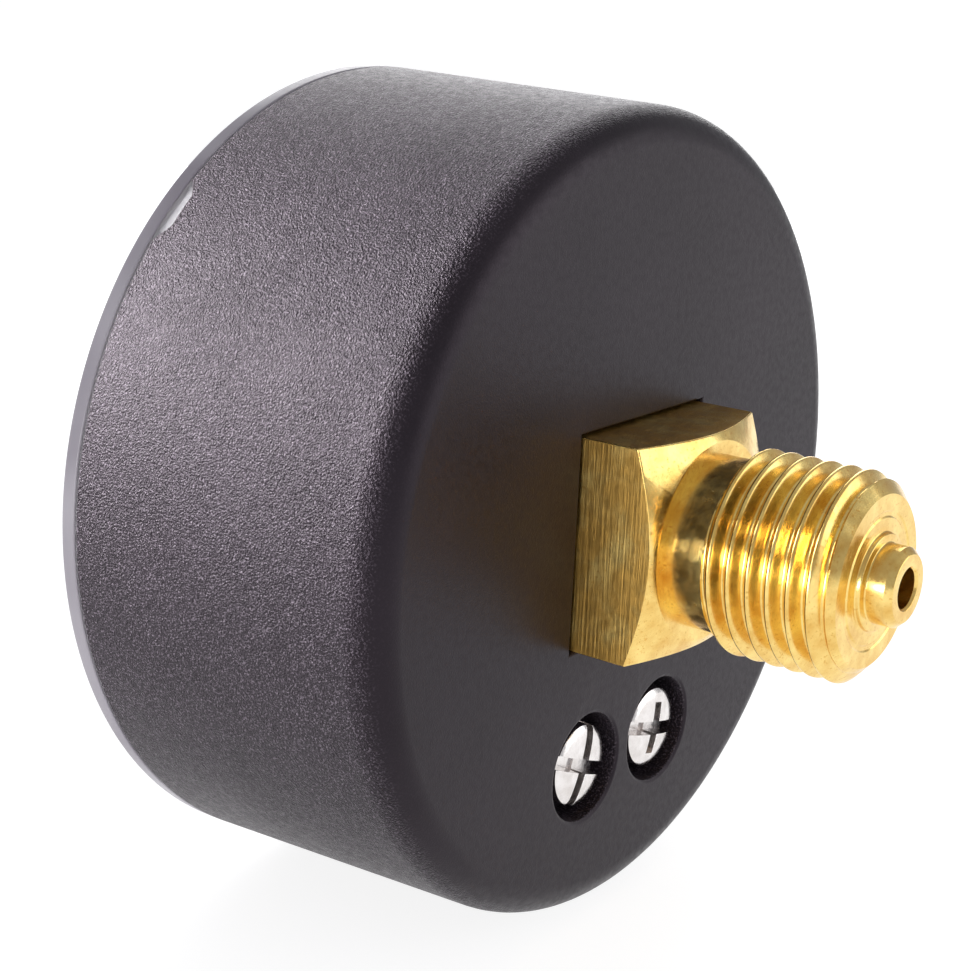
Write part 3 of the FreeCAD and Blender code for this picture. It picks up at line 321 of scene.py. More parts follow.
class Nodes:
    """Short names for the nodes of one material."""

    def __init__(self, name):
        self.material = bpy.data.materials.new(name)
        self.material.use_nodes = True
        self.tree = self.material.node_tree
        self.shader = self.tree.nodes["Principled BSDF"]
        self.coords = self.tree.nodes.new("ShaderNodeTexCoord")

    def set(self, **values):
        for socket, value in values.items():
            self.shader.inputs[socket.replace("_", " ")].default_value = value

    def link(self, output, target):
        self.tree.links.new(output, target)

    def into(self, output, socket):
        self.link(output, self.shader.inputs[socket])

    def stretched(self, scale):
        """Object coordinates multiplied by (x, y, z)."""
        node = self.tree.nodes.new("ShaderNodeMapping")
        node.inputs["Scale"].default_value = scale
        self.link(self.coords.outputs["Object"], node.inputs["Vector"])
        return node.outputs["Vector"]

    def noise(self, size, detail=2.0, roughness=0.5, vector=None):
        """Noise whose blobs are about size across, 0 to 1."""
        node = self.tree.nodes.new("ShaderNodeTexNoise")
        node.inputs["Scale"].default_value = 1 / size
        node.inputs["Detail"].default_value = detail
        node.inputs["Roughness"].default_value = roughness
        self.link(vector or self.coords.outputs["Object"], node.inputs["Vector"])
        return node.outputs["Fac"]

    def cells(self, size):
        """Distance from the middle of cells about size across."""
        node = self.tree.nodes.new("ShaderNodeTexVoronoi")
        node.inputs["Scale"].default_value = 1 / size
        self.link(self.coords.outputs["Object"], node.inputs["Vector"])
        return node.outputs["Distance"]

    def math(self, operation, a, b=0.0):
        node = self.tree.nodes.new("ShaderNodeMath")
        node.operation = operation
        for value, socket in zip((a, b), node.inputs):
            if isinstance(value, (int, float)):
                socket.default_value = value
            else:
                self.link(value, socket)
        return node.outputs[0]

    def ramp(self, value, low, high, out_low=0.0, out_high=1.0):
        """Smooth step between two values."""
        node = self.tree.nodes.new("ShaderNodeMapRange")
        node.interpolation_type = "SMOOTHSTEP"
        names = ("From Min", "From Max", "To Min", "To Max")
        for socket, number in zip(names, (low, high, out_low, out_high)):
            node.inputs[socket].default_value = number
        self.link(value, node.inputs["Value"])
        return node.outputs["Result"]

    def colours(self, value, *stops):
        """Colour ramp from (position, (r, g, b)) stops."""
        node = self.tree.nodes.new("ShaderNodeValToRGB")
        ramp = node.color_ramp
        while len(ramp.elements) < len(stops):
            ramp.elements.new(0.5)
        for element, (position, colour) in zip(ramp.elements, stops):
            element.position = position
            element.color = (*colour, 1.0)
        self.link(value, node.inputs["Fac"])
        return node.outputs["Color"]

    def axis(self, name, source="Object"):
        node = self.tree.nodes.new("ShaderNodeSeparateXYZ")
        self.link(self.coords.outputs[source], node.inputs["Vector"])
        return node.outputs[name]

    def bump(self, height, distance):
        node = self.tree.nodes.new("ShaderNodeBump")
        node.inputs["Strength"].default_value = 1.0
        node.inputs["Distance"].default_value = distance
        self.link(height, node.inputs["Height"])
        return node.outputs["Normal"]

    def total(self, *parts):
        """Sum of (value, weight) parts."""
        result = None
        for value, weight in parts:
            part = self.math("MULTIPLY", value, weight)
            result = part if result is None else self.math("ADD", result, part)
        return result


# --- materials ----------------------------------------------------------------


def moulded_black():
    """Black moulded plastic: spark-eroded grain on the side, fine satin grain on the rear, and
    lighter specks painted on as glints, mostly on the side.
    """
    pit_size, pebble_size, fine_size, glint_speck_size = 0.115 * MM, 0.15 * MM, 0.11 * MM, 0.13 * MM
    grain_depth = 0.100 * MM
    n = Nodes("moulded_black")
    n.set(Specular_IOR_Level=0.22, IOR=1.5, Specular_Tint=(1.0, 0.82, 0.98, 1.0))
    rear = n.ramp(n.axis("Y", "Normal"), 0.35, 0.85)
    side = n.math("SUBTRACT", 1.0, rear)
    patchy = n.ramp(n.noise(7 * MM, 2.0), 0.25, 0.75, 0.7, 1.0)
    coarse = n.total((n.noise(pit_size, 1.0, 0.6), 1.3), (n.cells(pebble_size), 0.5))
    side_height = n.math("MULTIPLY", coarse, n.math("MULTIPLY", side, patchy))
    rear_grain = n.noise(fine_size, 2.0, 0.6)
    rear_height = n.math("MULTIPLY", rear_grain, n.math("MULTIPLY", rear, 0.12))
    n.into(n.bump(n.math("ADD", side_height, rear_height), grain_depth), "Normal")
    # Painted highlight: lighter specks in the base colour stand in for glints off the grain. They
    # fall mostly on the side, which makes the side lighter than the rear.
    glint_specks = n.ramp(n.noise(glint_speck_size, 1.0), 0.50, 0.70)
    side_glint_specks = n.math("MULTIPLY", glint_specks, n.math("ADD", side, 0.15))
    tone_and_glints = n.total((side_glint_specks, 0.7), (n.noise(9 * MM, 2.0), 0.3))
    n.into(n.colours(
        tone_and_glints, (0.10, (0.009, 0.0072, 0.0092)), (0.30, (0.016, 0.0125, 0.0162)),
        (1.0, (0.090, 0.075, 0.091)),
    ), "Base Color")
    n.into(n.ramp(n.noise(0.5 * MM, 3.0), 0.3, 0.7, 0.30, 0.42), "Roughness")
    return n.material


def clear_plastic():
    """Clear moulded window, polished over the dial and finely frosted round its rim, with painted
    shade: the outer edge of the flange is coloured dark grey.
    """
    n = Nodes("clear_plastic")
    n.set(IOR=1.49)
    x, z = n.axis("X"), n.axis("Z")
    radius = n.math("SQRT", n.math("ADD", n.math("MULTIPLY", x, x), n.math("MULTIPLY", z, z)))
    rim = n.ramp(radius, CASE_R - 1.9 * MM, CASE_R - 1.4 * MM)
    # Painted shade: this mask gives the flange's outer edge a dark grey colour and little
    # transmission, standing in for the grey look of the clear flange.
    edge = n.ramp(radius, CASE_R - 0.22 * MM, CASE_R - 0.06 * MM)
    frost_and_edge_shade = n.total((rim, 0.35), (edge, 0.45))
    n.into(n.math("SUBTRACT", 1.0, frost_and_edge_shade), "Transmission Weight")
    haze_and_edge_shade = n.math("ADD", n.math("MULTIPLY", n.noise(6 * MM, 1.0), 0.2), frost_and_edge_shade)
    # The dark end of this ramp is the painted shade on the flange's outer edge; the light grey
    # middle is the frosted rim.
    n.into(n.colours(
        haze_and_edge_shade, (0.1, (0.97, 0.97, 0.98)), (0.5, (0.80, 0.78, 0.82)), (0.95, (0.26, 0.235, 0.275)),
    ), "Base Color")
    fine = n.ramp(n.noise(0.4 * MM, 2.0), 0.3, 0.7, 0.0, 0.06)
    n.into(n.math("ADD", fine, n.math("MULTIPLY", rim, 0.30)), "Roughness")
    n.into(n.bump(n.noise(0.5 * MM, 2.0), 0.004 * MM), "Normal")
    return n.material


def square_flats(n):
    """1 on the four flats of the spanner square, 0 elsewhere."""
    flat_x = n.ramp(n.math("ABSOLUTE", n.axis("X", "Normal")), 0.97, 0.995)
    flat_z = n.ramp(n.math("ABSOLUTE", n.axis("Z", "Normal")), 0.97, 0.995)
    square_end = REAR_Y + SQUARE_STANDOUT
    before_end = n.ramp(n.axis("Y"), square_end, square_end - 0.2 * MM)
    return n.math("MULTIPLY", n.math("MAXIMUM", flat_x, flat_z), before_end)


def machined_brass(name, base_dark, base_light, roughness, sawn=True):
    """Bare brass: turned rings round the axis, sawn lines across the flats of the square."""
    ring_stretch, saw_stretch = (40, 9000, 40), (5200, 5200, 160)
    mark_depth = 0.004 * MM
    n = Nodes(name)
    n.set(Metallic=1.0)
    height = n.math("MULTIPLY", n.noise(1.0, 3.0, 0.6, n.stretched(ring_stretch)), 0.5)
    spots = n.ramp(n.noise(0.22 * MM, 2.0), 0.60, 0.72)
    clean = n.noise(2.2 * MM, 4.0, 0.6)
    tarnish = n.math("SUBTRACT", clean, n.math("MULTIPLY", spots, 0.25))
    rough = n.ramp(n.noise(0.7 * MM, 4.0, 0.6), 0.3, 0.75, roughness, roughness + 0.12)
    if sawn:
        flats = square_flats(n)
        lines = n.noise(1.0, 4.0, 0.7, n.stretched(saw_stretch))
        sawn_height = n.math("MULTIPLY", n.math("MULTIPLY", lines, flats), 9.0)
        height = n.math("ADD", height, sawn_height)
        tarnish = n.math("SUBTRACT", tarnish, n.math("MULTIPLY", flats, 0.16))
        rough = n.math("ADD", rough, n.math("MULTIPLY", flats, 0.14))
    n.into(n.bump(height, mark_depth), "Normal")
    n.into(n.colours(tarnish, (0.30, base_dark), (0.62, base_light)), "Base Color")
    n.into(rough, "Roughness")
    return n.material


def plated(name, dark, light, roughness):
    """Plated or ground metal with faint unevenness."""
    n = Nodes(name)
    n.set(Metallic=1.0)
    n.into(n.colours(n.noise(0.9 * MM, 3.0), (0.3, dark), (0.7, light)), "Base Color")
    uneven = n.ramp(n.noise(0.35 * MM, 3.0), 0.3, 0.7, roughness, roughness + 0.12)
    n.into(uneven, "Roughness")
    n.into(n.bump(n.noise(0.25 * MM, 2.0), 0.006 * MM), "Normal")
    return n.material


def enamel(name, dark, light, roughness):
    """Sprayed paint with a faint orange peel."""
    n = Nodes(name)
    n.into(n.colours(n.noise(5 * MM, 3.0), (0.3, dark), (0.7, light)), "Base Color")
    n.into(n.ramp(n.noise(1.0 * MM, 2.0), 0.3, 0.7, roughness, roughness + 0.08), "Roughness")
    n.into(n.bump(n.noise(0.45 * MM, 2.0), 0.008 * MM), "Normal")
    return n.material


BLACK = moulded_black()
CLEAR = clear_plastic()
BRASS = machined_brass("turned_brass", (0.76, 0.45, 0.11), (0.95, 0.71, 0.25), 0.16)
SHEET = machined_brass("sheet_brass", (0.74, 0.50, 0.18), (0.86, 0.62, 0.26), 0.28, sawn=False)
BRONZE = machined_brass("drawn_bronze", (0.62, 0.36, 0.14), (0.76, 0.46, 0.19), 0.24, sawn=False)
NICKEL = plated("nickel_plate", (0.70, 0.66, 0.64), (0.86, 0.83, 0.82), 0.14)
STEEL = plated("ground_steel", (0.48, 0.48, 0.50), (0.62, 0.62, 0.64), 0.22)
WHITE = enamel("white_enamel", (0.74, 0.74, 0.72), (0.79, 0.79, 0.78), 0.38)
INK = enamel("scale_ink", (0.010, 0.010, 0.011), (0.018, 0.018, 0.020), 0.45)
NEEDLE = enamel("needle_black", (0.012, 0.012, 0.013), (0.022, 0.022, 0.024), 0.34)

SLOT_MATERIALS = {
    "case_black": BLACK, "window_clear": CLEAR, "nickel_steel": NICKEL, "brass_turned": BRASS,
    "brass_sheet": SHEET, "bronze_tube": BRONZE, "bronze_spring": BRONZE, "steel_plain": STEEL,
    "dial_white": WHITE, "pointer_black": NEEDLE,
}


def dress_cad_nodes():
    """Each CAD node takes the detailed material of its slot in the record."""
    slots = {row["node"]: row["material_slot"] for row in frame["record"]["subparts"]}
    for name, node in frame["nodes"].items():
        for index in range(len(node.material_slots)):
            node.material_slots[index].material = SLOT_MATERIALS[slots[name]]


# --- brass socket -------------------------------------------------------------


def thread_rise(y):
    """Height of the 55 degree thread above its root at a place along one pitch, 0 to 1."""
    depth = THREAD_MAJOR_R - THREAD_MINOR_R
    flank = depth * math.tan(math.radians(THREAD_FLANK_ANGLE))
    crest = (THREAD_PITCH - 2 * flank) / 4
    away = abs((y / THREAD_PITCH + 0.5) % 1.0 - 0.5) * THREAD_PITCH
    rise = (crest + flank - away) / flank
    return soft_clamp(rise, THREAD_CREST_BLEND)


def soft_clamp(value, blend):
    """Value held between 0 and 1, with rounded corners where it meets them."""
    low = 0.5 * (value + math.sqrt(value * value + blend * blend))
    over = 1.0 - low
    return 1.0 - 0.5 * (over + math.sqrt(over * over + blend * blend))


def thread_limit(y):
    """Radius that the end chamfers leave at a distance along the stub."""
    from_face = THREAD_MINOR_R - THREAD_END_STEP - y * THREAD_END_SLOPE
    from_neck = NECK_R + (y + THREAD_LENGTH) * THREAD_FOOT_SLOPE
    return min(from_face, from_neck)


def thread_radius(y, helix_y):
    root = min(THREAD_MINOR_R, thread_limit(y))
    crest = THREAD_MINOR_R + (THREAD_MAJOR_R - THREAD_MINOR_R) * thread_rise(helix_y)
    return max(root, min(crest, thread_limit(y)))


def thread_rows(bm, segments):
    """Grid that follows the right-hand helix from the neck to the sealing face."""
    step_y = THREAD_PITCH / THREAD_ROWS_PER_PITCH
    rows = int(THREAD_LENGTH / step_y) + THREAD_ROWS_PER_PITCH + 2
    columns = []
    for step in range(segments + 1):
        share = step / segments
        angle = 2 * math.pi * share
        column = []
        for row in range(rows + 1):
            along = -THREAD_LENGTH - THREAD_PITCH + row * step_y + THREAD_PITCH * share
            y = min(max(along, -THREAD_LENGTH), 0.0)
            r = thread_radius(y, y - THREAD_PITCH * share)
            column.append(bm.verts.new((r * math.cos(angle), y, -r * math.sin(angle))))
        columns.append(column)
    for left, right in zip(columns, columns[1:]):
        for row in range(rows):
            bm.faces.new((left[row], left[row + 1], right[row + 1], right[row]))


def turned_rows(bm, outline, segments):
    """Surface of revolution about the gauge axis, left open at its ends."""
    rings = []
    turn = 2 * math.pi / segments
    for r, y in outline:
        count = 1 if r < ON_AXIS else segments
        rings.append([
            bm.verts.new((r * math.cos(turn * step), y, -r * math.sin(turn * step)))
            for step in range(count)
        ])
    skin_rings(bm, rings, segments)


def neck_outline():
    """From inside the square to the foot of the thread."""
    start = REAR_Y - NECK_SUNK
    return [
        (0, start), (NECK_R, start),
        (NECK_R, -THREAD_LENGTH - NECK_SHOWN), (NECK_R, -THREAD_LENGTH),
    ]


def end_outline():
    """From the end of the thread over the sealing face and the spigot into the bore."""
    end = SPIGOT_LENGTH
    ring = FACE_RING_DEPTH
    start_r = thread_radius(0.0, 0.0)
    corners = [
        (start_r, 0, 0),
        (FACE_RING_OUTER_R, 0, 0.05 * MM),
        (FACE_RING_OUTER_R - FACE_RING_SIDE, -ring, 0.05 * MM),
        (FACE_RING_INNER_R + FACE_RING_SIDE, -ring, 0.05 * MM),
        (FACE_RING_INNER_R, 0, 0.05 * MM),
        (SPIGOT_FOOT_R + 0.30 * MM, 0, 0.08 * MM),
        (SPIGOT_FOOT_R - 0.02 * MM, 0.04 * MM, 0.10 * MM),
        (SPIGOT_FOOT_R - 0.06 * MM, SPIGOT_FOOT - 0.02 * MM, 0.09 * MM),
        (SPIGOT_R, SPIGOT_FOOT + 0.03 * MM, 0.10 * MM),
        (SPIGOT_R, end - SPIGOT_CHAMFER, 0.10 * MM),
        (SPIGOT_R - 0.38 * MM, end, 0.10 * MM),
        (BORE_R + 0.14 * MM, end, 0.06 * MM),
        (BORE_R, end - BORE_CHAMFER, 0.06 * MM),
        (BORE_R, -BORE_DEPTH, 0),
        (0, -BORE_DEPTH - BORE_POINT, 0),
    ]
    return rounded(corners, 5)


def threaded_stub():
    """Neck, thread, sealing face and spigot, with the bore; closed by the joined ends."""
    bm = bmesh.new()
    thread_rows(bm, LATHE_STEPS)
    turned_rows(bm, neck_outline(), LATHE_STEPS)
    turned_rows(bm, end_outline(), LATHE_STEPS)
    bmesh.ops.remove_doubles(bm, verts=bm.verts, dist=20 * SAME_POINT)
    bmesh.ops.dissolve_degenerate(bm, edges=bm.edges, dist=SAME_POINT)
    return from_bmesh("threaded_stub", bm)


def spanner_square():
    """Square whose outer corners are turned to a cone, with its block inside the case."""
    outer = REAR_Y + SQUARE_STANDOUT
    inner = REAR_Y - SQUARE_SUNK
    square = block(
        "square", (-SQUARE_HALF, inner, -SQUARE_HALF), (SQUARE_HALF, outer, SQUARE_HALF)
    )
    reach = SQUARE_HALF * 2
    beyond = inner - 2.5 * MM
    cone = lathe("cone", [
        (0, outer), (SQUARE_FACE_R, outer),
        (reach, outer - (reach - SQUARE_FACE_R) * SQUARE_SLOPE), (reach, beyond), (0, beyond),
    ], CONE_STEPS)
    combine(square, cone, "INTERSECT")
    return bevel(square, SQUARE_EDGE, 3, 14)


def socket_piece():
    """Threaded stub and spanner square, with the block that carries the tube."""
    socket = combine(threaded_stub(), spanner_square(), "UNION")
    arm = block(
        "arm", (socket_low.x, REAR_Y - ARM_DEPTH, socket_low.z),
        (socket_high.x, REAR_Y - SQUARE_SUNK, ARM_TOP),
    )
    combine(socket, bevel(arm, BLOCK_EDGE), "UNION")
    boss = block(
        "boss", (-BOSS_HALF, REAR_Y - BOSS_FAR, socket_low.z),
        (BOSS_HALF, REAR_Y - BOSS_NEAR, BOSS_TOP),
    )
    combine(socket, bevel(boss, BLOCK_EDGE), "UNION")
    socket.name = "brass_socket"
    return dress(smooth(socket, 30), BRASS, "gauge", ("socket",))


# --- case screws --------------------------------------------------------------


def pan_head(centre, turn, cross_reach):
    """Pan-head screw with a slot across and a second one square to it, turned by an angle."""
    top = REAR_Y - SCREW_RECESS
    under = top - SCREW_HEAD_HEIGHT
    shoulder = top - (SCREW_HEAD_HEIGHT - SCREW_HEAD_EDGE)
    outline = [(0, top)]
    for step in range(1, SCREW_CROWN_STEPS + 1):
        angle = math.pi / 2 * step / SCREW_CROWN_STEPS
        rise = math.cos(angle) ** SCREW_CROWN_FULLNESS
        outline.append((SCREW_HEAD_R * math.sin(angle), shoulder + (top - shoulder) * rise))
    outline += [
        (SCREW_HEAD_R, under + 0.1 * MM), (SCREW_HEAD_R - 0.1 * MM, under),
        (SCREW_SHANK_R, under), (SCREW_SHANK_R, under - SCREW_SHANK), (0, under - SCREW_SHANK),
    ]
    screw = lathe("case_screw", outline, SCREW_STEPS)
    slot_floor = top - SCREW_SLOT_DEPTH
    slot = wedge("slot", SCREW_SLOT_REACH, SCREW_SLOT_HALVES, (slot_floor, top + MM))
    combine(screw, slot, "DIFFERENCE")
    cross_ends = (slot_floor - SCREW_CROSS_EXTRA, top + MM)
    cross = wedge("cross", cross_reach, SCREW_CROSS_HALVES, cross_ends, across=True)
    combine(screw, cross, "DIFFERENCE")
    bevel(screw, SCREW_EDGE, 2, 40)
    turned = Matrix.Rotation(math.radians(turn), 4, "Y")
    screw.data.transform(Matrix.Translation((centre[0], 0, centre[1])) @ turned)
    return screw


def wedge(name, reach, halves, ends, across=False):
    """Slot cutter that widens from its floor to its top; one across also lengthens."""
    bm = bmesh.new()
    floor_share = SCREW_CROSS_FLOOR_SHARE if across else 1.0
    reaches = (reach * floor_share, reach * SLOT_TOP_SHARE)
    rings = []
    for y, half, length in zip(ends, halves, reaches):
        corners = [(-length, -half), (length, -half), (length, half), (-length, half)]
        if across:
            corners = [(z, x) for x, z in corners]
        rings.append([bm.verts.new((x, y, z)) for x, z in corners])
    for step in range(4):
        following = (step + 1) % 4
        bm.faces.new((rings[0][step], rings[0][following], rings[1][following], rings[1][step]))
    bm.faces.new(rings[0])
    bm.faces.new(rings[1])
    return from_bmesh(name, bm)


def case_screw_pieces():
    for index, side in enumerate((1, -1)):
        centre = (side * SCREW_SPACING / 2, -SCREW_DROP)
        screw = pan_head(centre, SCREW_TURNS[index], SCREW_CROSS_REACHES[index])
        screw.name = f"case_screw_{index + 1}"
        replaced = ("case_screws",) if index == 0 else ()
        dress(smooth(screw, 30), NICKEL, "gauge", replaced)


# --- case ---------------------------------------------------------------------


def case_r(depth):
    """Outer radius of the case at a depth in front of its rear face."""
    return CASE_R - (CASE_DEPTH - depth) * CASE_DRAFT


def bore_r(depth):
    """Inner radius of the case at a depth in front of its rear face."""
    return case_r(depth) - SIDE_WALL


def y_at(depth):
    """Place along the axis at a depth in front of the rear face."""
    return REAR_Y - depth


def case_blank():
    """Cup of the case, with the groove that the window's bead snaps into."""
    low, high = CASE_DEPTH - BEAD_DROP - BEAD_HALF, CASE_DEPTH - BEAD_DROP + BEAD_HALF
    corners = [
        (0, y_at(0), 0),
        (case_r(0), y_at(0), REAR_EDGE_R),
        (case_r(CASE_DEPTH / 2), y_at(CASE_DEPTH / 2), 0),
        (case_r(CASE_DEPTH), y_at(CASE_DEPTH), 0.16 * MM),
        (bore_r(CASE_DEPTH), y_at(CASE_DEPTH), 0.10 * MM),
        (bore_r(high), y_at(high), 0),
        (bore_r(high) + 2 * BEAD, y_at(high - BEAD_HALF / 2), 0),
        (bore_r(low) + 2 * BEAD, y_at(low + BEAD_HALF / 2), 0),
        (bore_r(low), y_at(low), 0),
        (bore_r(REAR_WALL), y_at(REAR_WALL), 0.5 * MM),
        (0, y_at(REAR_WALL), 0),
    ]
    return lathe("case_blank", rounded(corners, 12), CASE_STEPS)


def well_cutter(x, z):
    """Screw well with a rounded mouth, and the screw hole behind it."""
    mouth = [(0, REAR_Y + MM), (WELL_R + WELL_ROUNDING, REAR_Y + MM)]
    for step in range(7):
        angle = math.pi / 2 * step / 6
        r = WELL_R + WELL_ROUNDING * (1 - math.sin(angle))
        mouth.append((r, REAR_Y - WELL_ROUNDING * (1 - math.cos(angle))))
    floor = REAR_Y - WELL_DEPTH
    outline = mouth + [
        (WELL_R, floor), (SCREW_HOLE_R, floor), (SCREW_HOLE_R, REAR_Y - SEAT_DEPTH - MM),
        (0, REAR_Y - SEAT_DEPTH - MM),
    ]
    return lathe("well", outline, WELL_STEPS, (x, z))


def square_cutter():
    """Square hole whose mouth is eased a little."""
    drop, out = HOLE_EASE_MIDDLE
    levels = [
        (MM, HOLE_EASE), (0, HOLE_EASE), (-drop, out), (-HOLE_EASE, 0), (-SEAT_DEPTH - MM, 0),
    ]
    bm = bmesh.new()
    rings = []
    for y, out in levels:
        half = HOLE_HALF + out
        corners = ((-half, -half), (half, -half), (half, half), (-half, half))
        rings.append([bm.verts.new((x, REAR_Y + y, z)) for x, z in corners])
    for lower, upper in zip(rings, rings[1:]):
        for step in range(4):
            following = (step + 1) % 4
            bm.faces.new((lower[step], lower[following], upper[following], upper[step]))
    bm.faces.new(rings[0])
    bm.faces.new(rings[-1])
    return from_bmesh("square_hole", bm)


def notch_cutter():
    """Shallow pry notch in the front edge, with sloping ends."""
    front = REAR_Y - CASE_DEPTH
    floor_y = front + NOTCH_DEPTH
    right = [
        (NOTCH_FLOOR_HALF - NOTCH_SIDE_EASE, floor_y),
        (NOTCH_FLOOR_HALF + NOTCH_FLOOR_EASE, floor_y - NOTCH_FLOOR_RISE),
        (NOTCH_HALF + NOTCH_SIDE_EASE, front),
        (NOTCH_HALF + NOTCH_MOUTH_EASE, front - MM),
    ]
    outline = [(-z, y) for z, y in reversed(right)] + right
    bm = bmesh.new()
    near, far = CASE_R - SIDE_WALL - MM, CASE_R + MM
    faces = [[bm.verts.new((x, y, z)) for z, y in outline] for x in (near, far)]
    bm.faces.new(faces[0])
    bm.faces.new(faces[1])
    for step in range(len(outline)):
        following = (step + 1) % len(outline)
        bm.faces.new((faces[0][step], faces[0][following], faces[1][following], faces[1][step]))
    cutter = from_bmesh("notch", bm)
    cutter.data.transform(Matrix.Rotation(-math.radians(NOTCH_ANGLE), 4, "Y"))
    return cutter


def case_piece():
    case = case_blank()
    pad = block(
        "pad", (-PAD_HALF, REAR_Y - SEAT_DEPTH, PAD_LOW),
        (PAD_HALF, REAR_Y - REAR_WALL + PAD_LAP, PAD_HIGH),
    )
    combine(case, pad, "UNION")
    for cutter in (square_cutter(), notch_cutter()):
        combine(case, cutter, "DIFFERENCE")
    for side in (1, -1):
        combine(case, well_cutter(side * SCREW_SPACING / 2, -SCREW_DROP), "DIFFERENCE")
    case.name = "moulded_case"
    return dress(smooth(case, 20), BLACK, "gauge", ("case",))


# --- window -------------------------------------------------------------------


def window_piece():
    """Clear snap-in window: flange over the case's edge, bevelled front, skirt with a bead."""
    rear = CASE_DEPTH + WINDOW_GAP
    skirt_rear = CASE_DEPTH - SKIRT_LENGTH
    skirt_r = bore_r(skirt_rear) - SKIRT_GAP
    bead = CASE_DEPTH - BEAD_DROP
    corners = [
        (0, y_at(rear), 0),
        (skirt_r - SKIRT_WALL, y_at(rear), 0.3 * MM),
        (skirt_r - SKIRT_WALL, y_at(skirt_rear), 0.15 * MM),
        (skirt_r, y_at(skirt_rear), 0.15 * MM),
        (skirt_r, y_at(bead - BEAD_HALF), 0),
        (skirt_r + BEAD, y_at(bead), 0.1 * MM),
        (skirt_r, y_at(bead + BEAD_HALF), 0),
        (skirt_r, y_at(rear), 0.1 * MM),
        (CASE_R, y_at(rear), 0.12 * MM),
        (CASE_R, y_at(rear + WINDOW_FLANGE), 0.22 * MM),
        (CASE_R - WINDOW_BEVEL, WINDOW_FRONT_Y, 0.30 * MM),
        (0, WINDOW_FRONT_Y, 0),
    ]
    window = lathe("clear_window", rounded(corners, 6), CASE_STEPS)
    return dress(smooth(window, 30), CLEAR, "gauge", ("window",))


# --- dial and pointer ---------------------------------------------------------

SCALE_R = DIAL_R - 2.1 * MM
SCALE_MAJOR = 2.9 * MM
SCALE_MEDIUM = 2.1 * MM
SCALE_MINOR = 1.3 * MM
NUMERAL_R = SCALE_R - 5.6 * MM
NUMERAL_SIZE = 4.0 * MM
UNIT_SIZE = 2.9 * MM
UNIT_DROP = 13.4 * MM
SCALE_TOP = 10
SCALE_STEPS = 50
STEPS_TO_MAJOR = 10
STEPS_TO_MEDIUM = 5
NUMERAL_EVERY = 2
MAJOR_HALF = 0.24 * MM
MEDIUM_HALF = 0.15 * MM
MINOR_HALF = 0.09 * MM
ARC_WIDTH = 0.16 * MM
ARC_STEPS = 180
LETTER_WEIGHT = 0.01
POINTER_EYE_R = 2.8 * MM
POINTER_EYE_START = 20
POINTER_EYE_SWEEP = 140
POINTER_EYE_STEPS = 8
POINTER_EDGE = 0.07 * MM
POINTER_TIP = 18.5 * MM
POINTER_SIDE = (
    (POINTER_TIP, 0.0), (POINTER_TIP - 1.2 * MM, 0.25 * MM),
    (6.0 * MM, 0.80 * MM), (2.7 * MM, 1.0 * MM),
)
POINTER_TAIL_SIDE = (
    (-2.7 * MM, 1.05 * MM), (-5.4 * MM, 1.45 * MM), (-6.6 * MM, 1.45 * MM), (-7.0 * MM, 1.05 * MM),
)
ARBOR_HOLE_R = 0.83 * MM
HUB_RECESS_R = 1.15 * MM
HUB_RECESS = 0.12 * MM
DIAL_SCREW_REACH = 8.5 * MM
DIAL_SCREW_HEAD_R = 1.7 * MM
DIAL_SCREW_HEAD = 0.8 * MM
DIAL_SCREW_SHANK_R = 1.0 * MM
DIAL_SCREW_SHANK = 2.4 * MM
DIAL_SCREW_SLOT_HALF = 0.22 * MM
DIAL_SCREW_SLOT_FLOOR = 0.45 * DIAL_SCREW_HEAD
DIAL_SCREW_EDGE = 0.03 * MM
DIAL_SCREW_TURNS = (35, -15)


def scale_angle(value):
    return math.radians(ZERO_ANGLE - SCALE_SWEEP * value / SCALE_TOP)


def on_dial(r, angle):
    """Point of the dial's plane at a radius and an angle."""
    return Vector((math.cos(angle), 0, math.sin(angle))) * r


def dial_scale():
    """Printed tick marks and the thin arc that joins them."""
    bm = bmesh.new()
    top, bottom = DIAL_Y - PRINT, DIAL_Y + PRINT / 2
    for step in range(SCALE_STEPS + 1):
        if step % STEPS_TO_MAJOR == 0:
            length, half = SCALE_MAJOR, MAJOR_HALF
        elif step % STEPS_TO_MEDIUM == 0:
            length, half = SCALE_MEDIUM, MEDIUM_HALF
        else:
            length, half = SCALE_MINOR, MINOR_HALF
        along = on_dial(1.0, scale_angle(step * SCALE_TOP / SCALE_STEPS))
        side = Vector((-along.z, 0, along.x)) * half
        outer, inner = along * SCALE_R, along * (SCALE_R - length)
        prism(bm, [outer + side, outer - side, inner - side, inner + side], top, bottom)
    inner_r = SCALE_R - ARC_WIDTH
    for step in range(ARC_STEPS):
        start, end = (scale_angle(SCALE_TOP * (step + more) / ARC_STEPS) for more in (0, 1))
        corners = [
            on_dial(SCALE_R, start), on_dial(SCALE_R, end),
            on_dial(inner_r, end), on_dial(inner_r, start),
        ]
        prism(bm, corners, top + PRINT / 4, bottom)
    return dress(from_bmesh("dial_scale", bm), INK, "gauge")


def prism(bm, corners, top, bottom):
    """Flat shape in the plane of the dial, between two heights."""
    upper = [bm.verts.new((c.x, top, c.z)) for c in corners]
    lower = [bm.verts.new((c.x, bottom, c.z)) for c in corners]
    bm.faces.new(upper)
    bm.faces.new(lower)
    for step in range(len(corners)):
        following = (step + 1) % len(corners)
        bm.faces.new((upper[step], upper[following], lower[following], lower[step]))


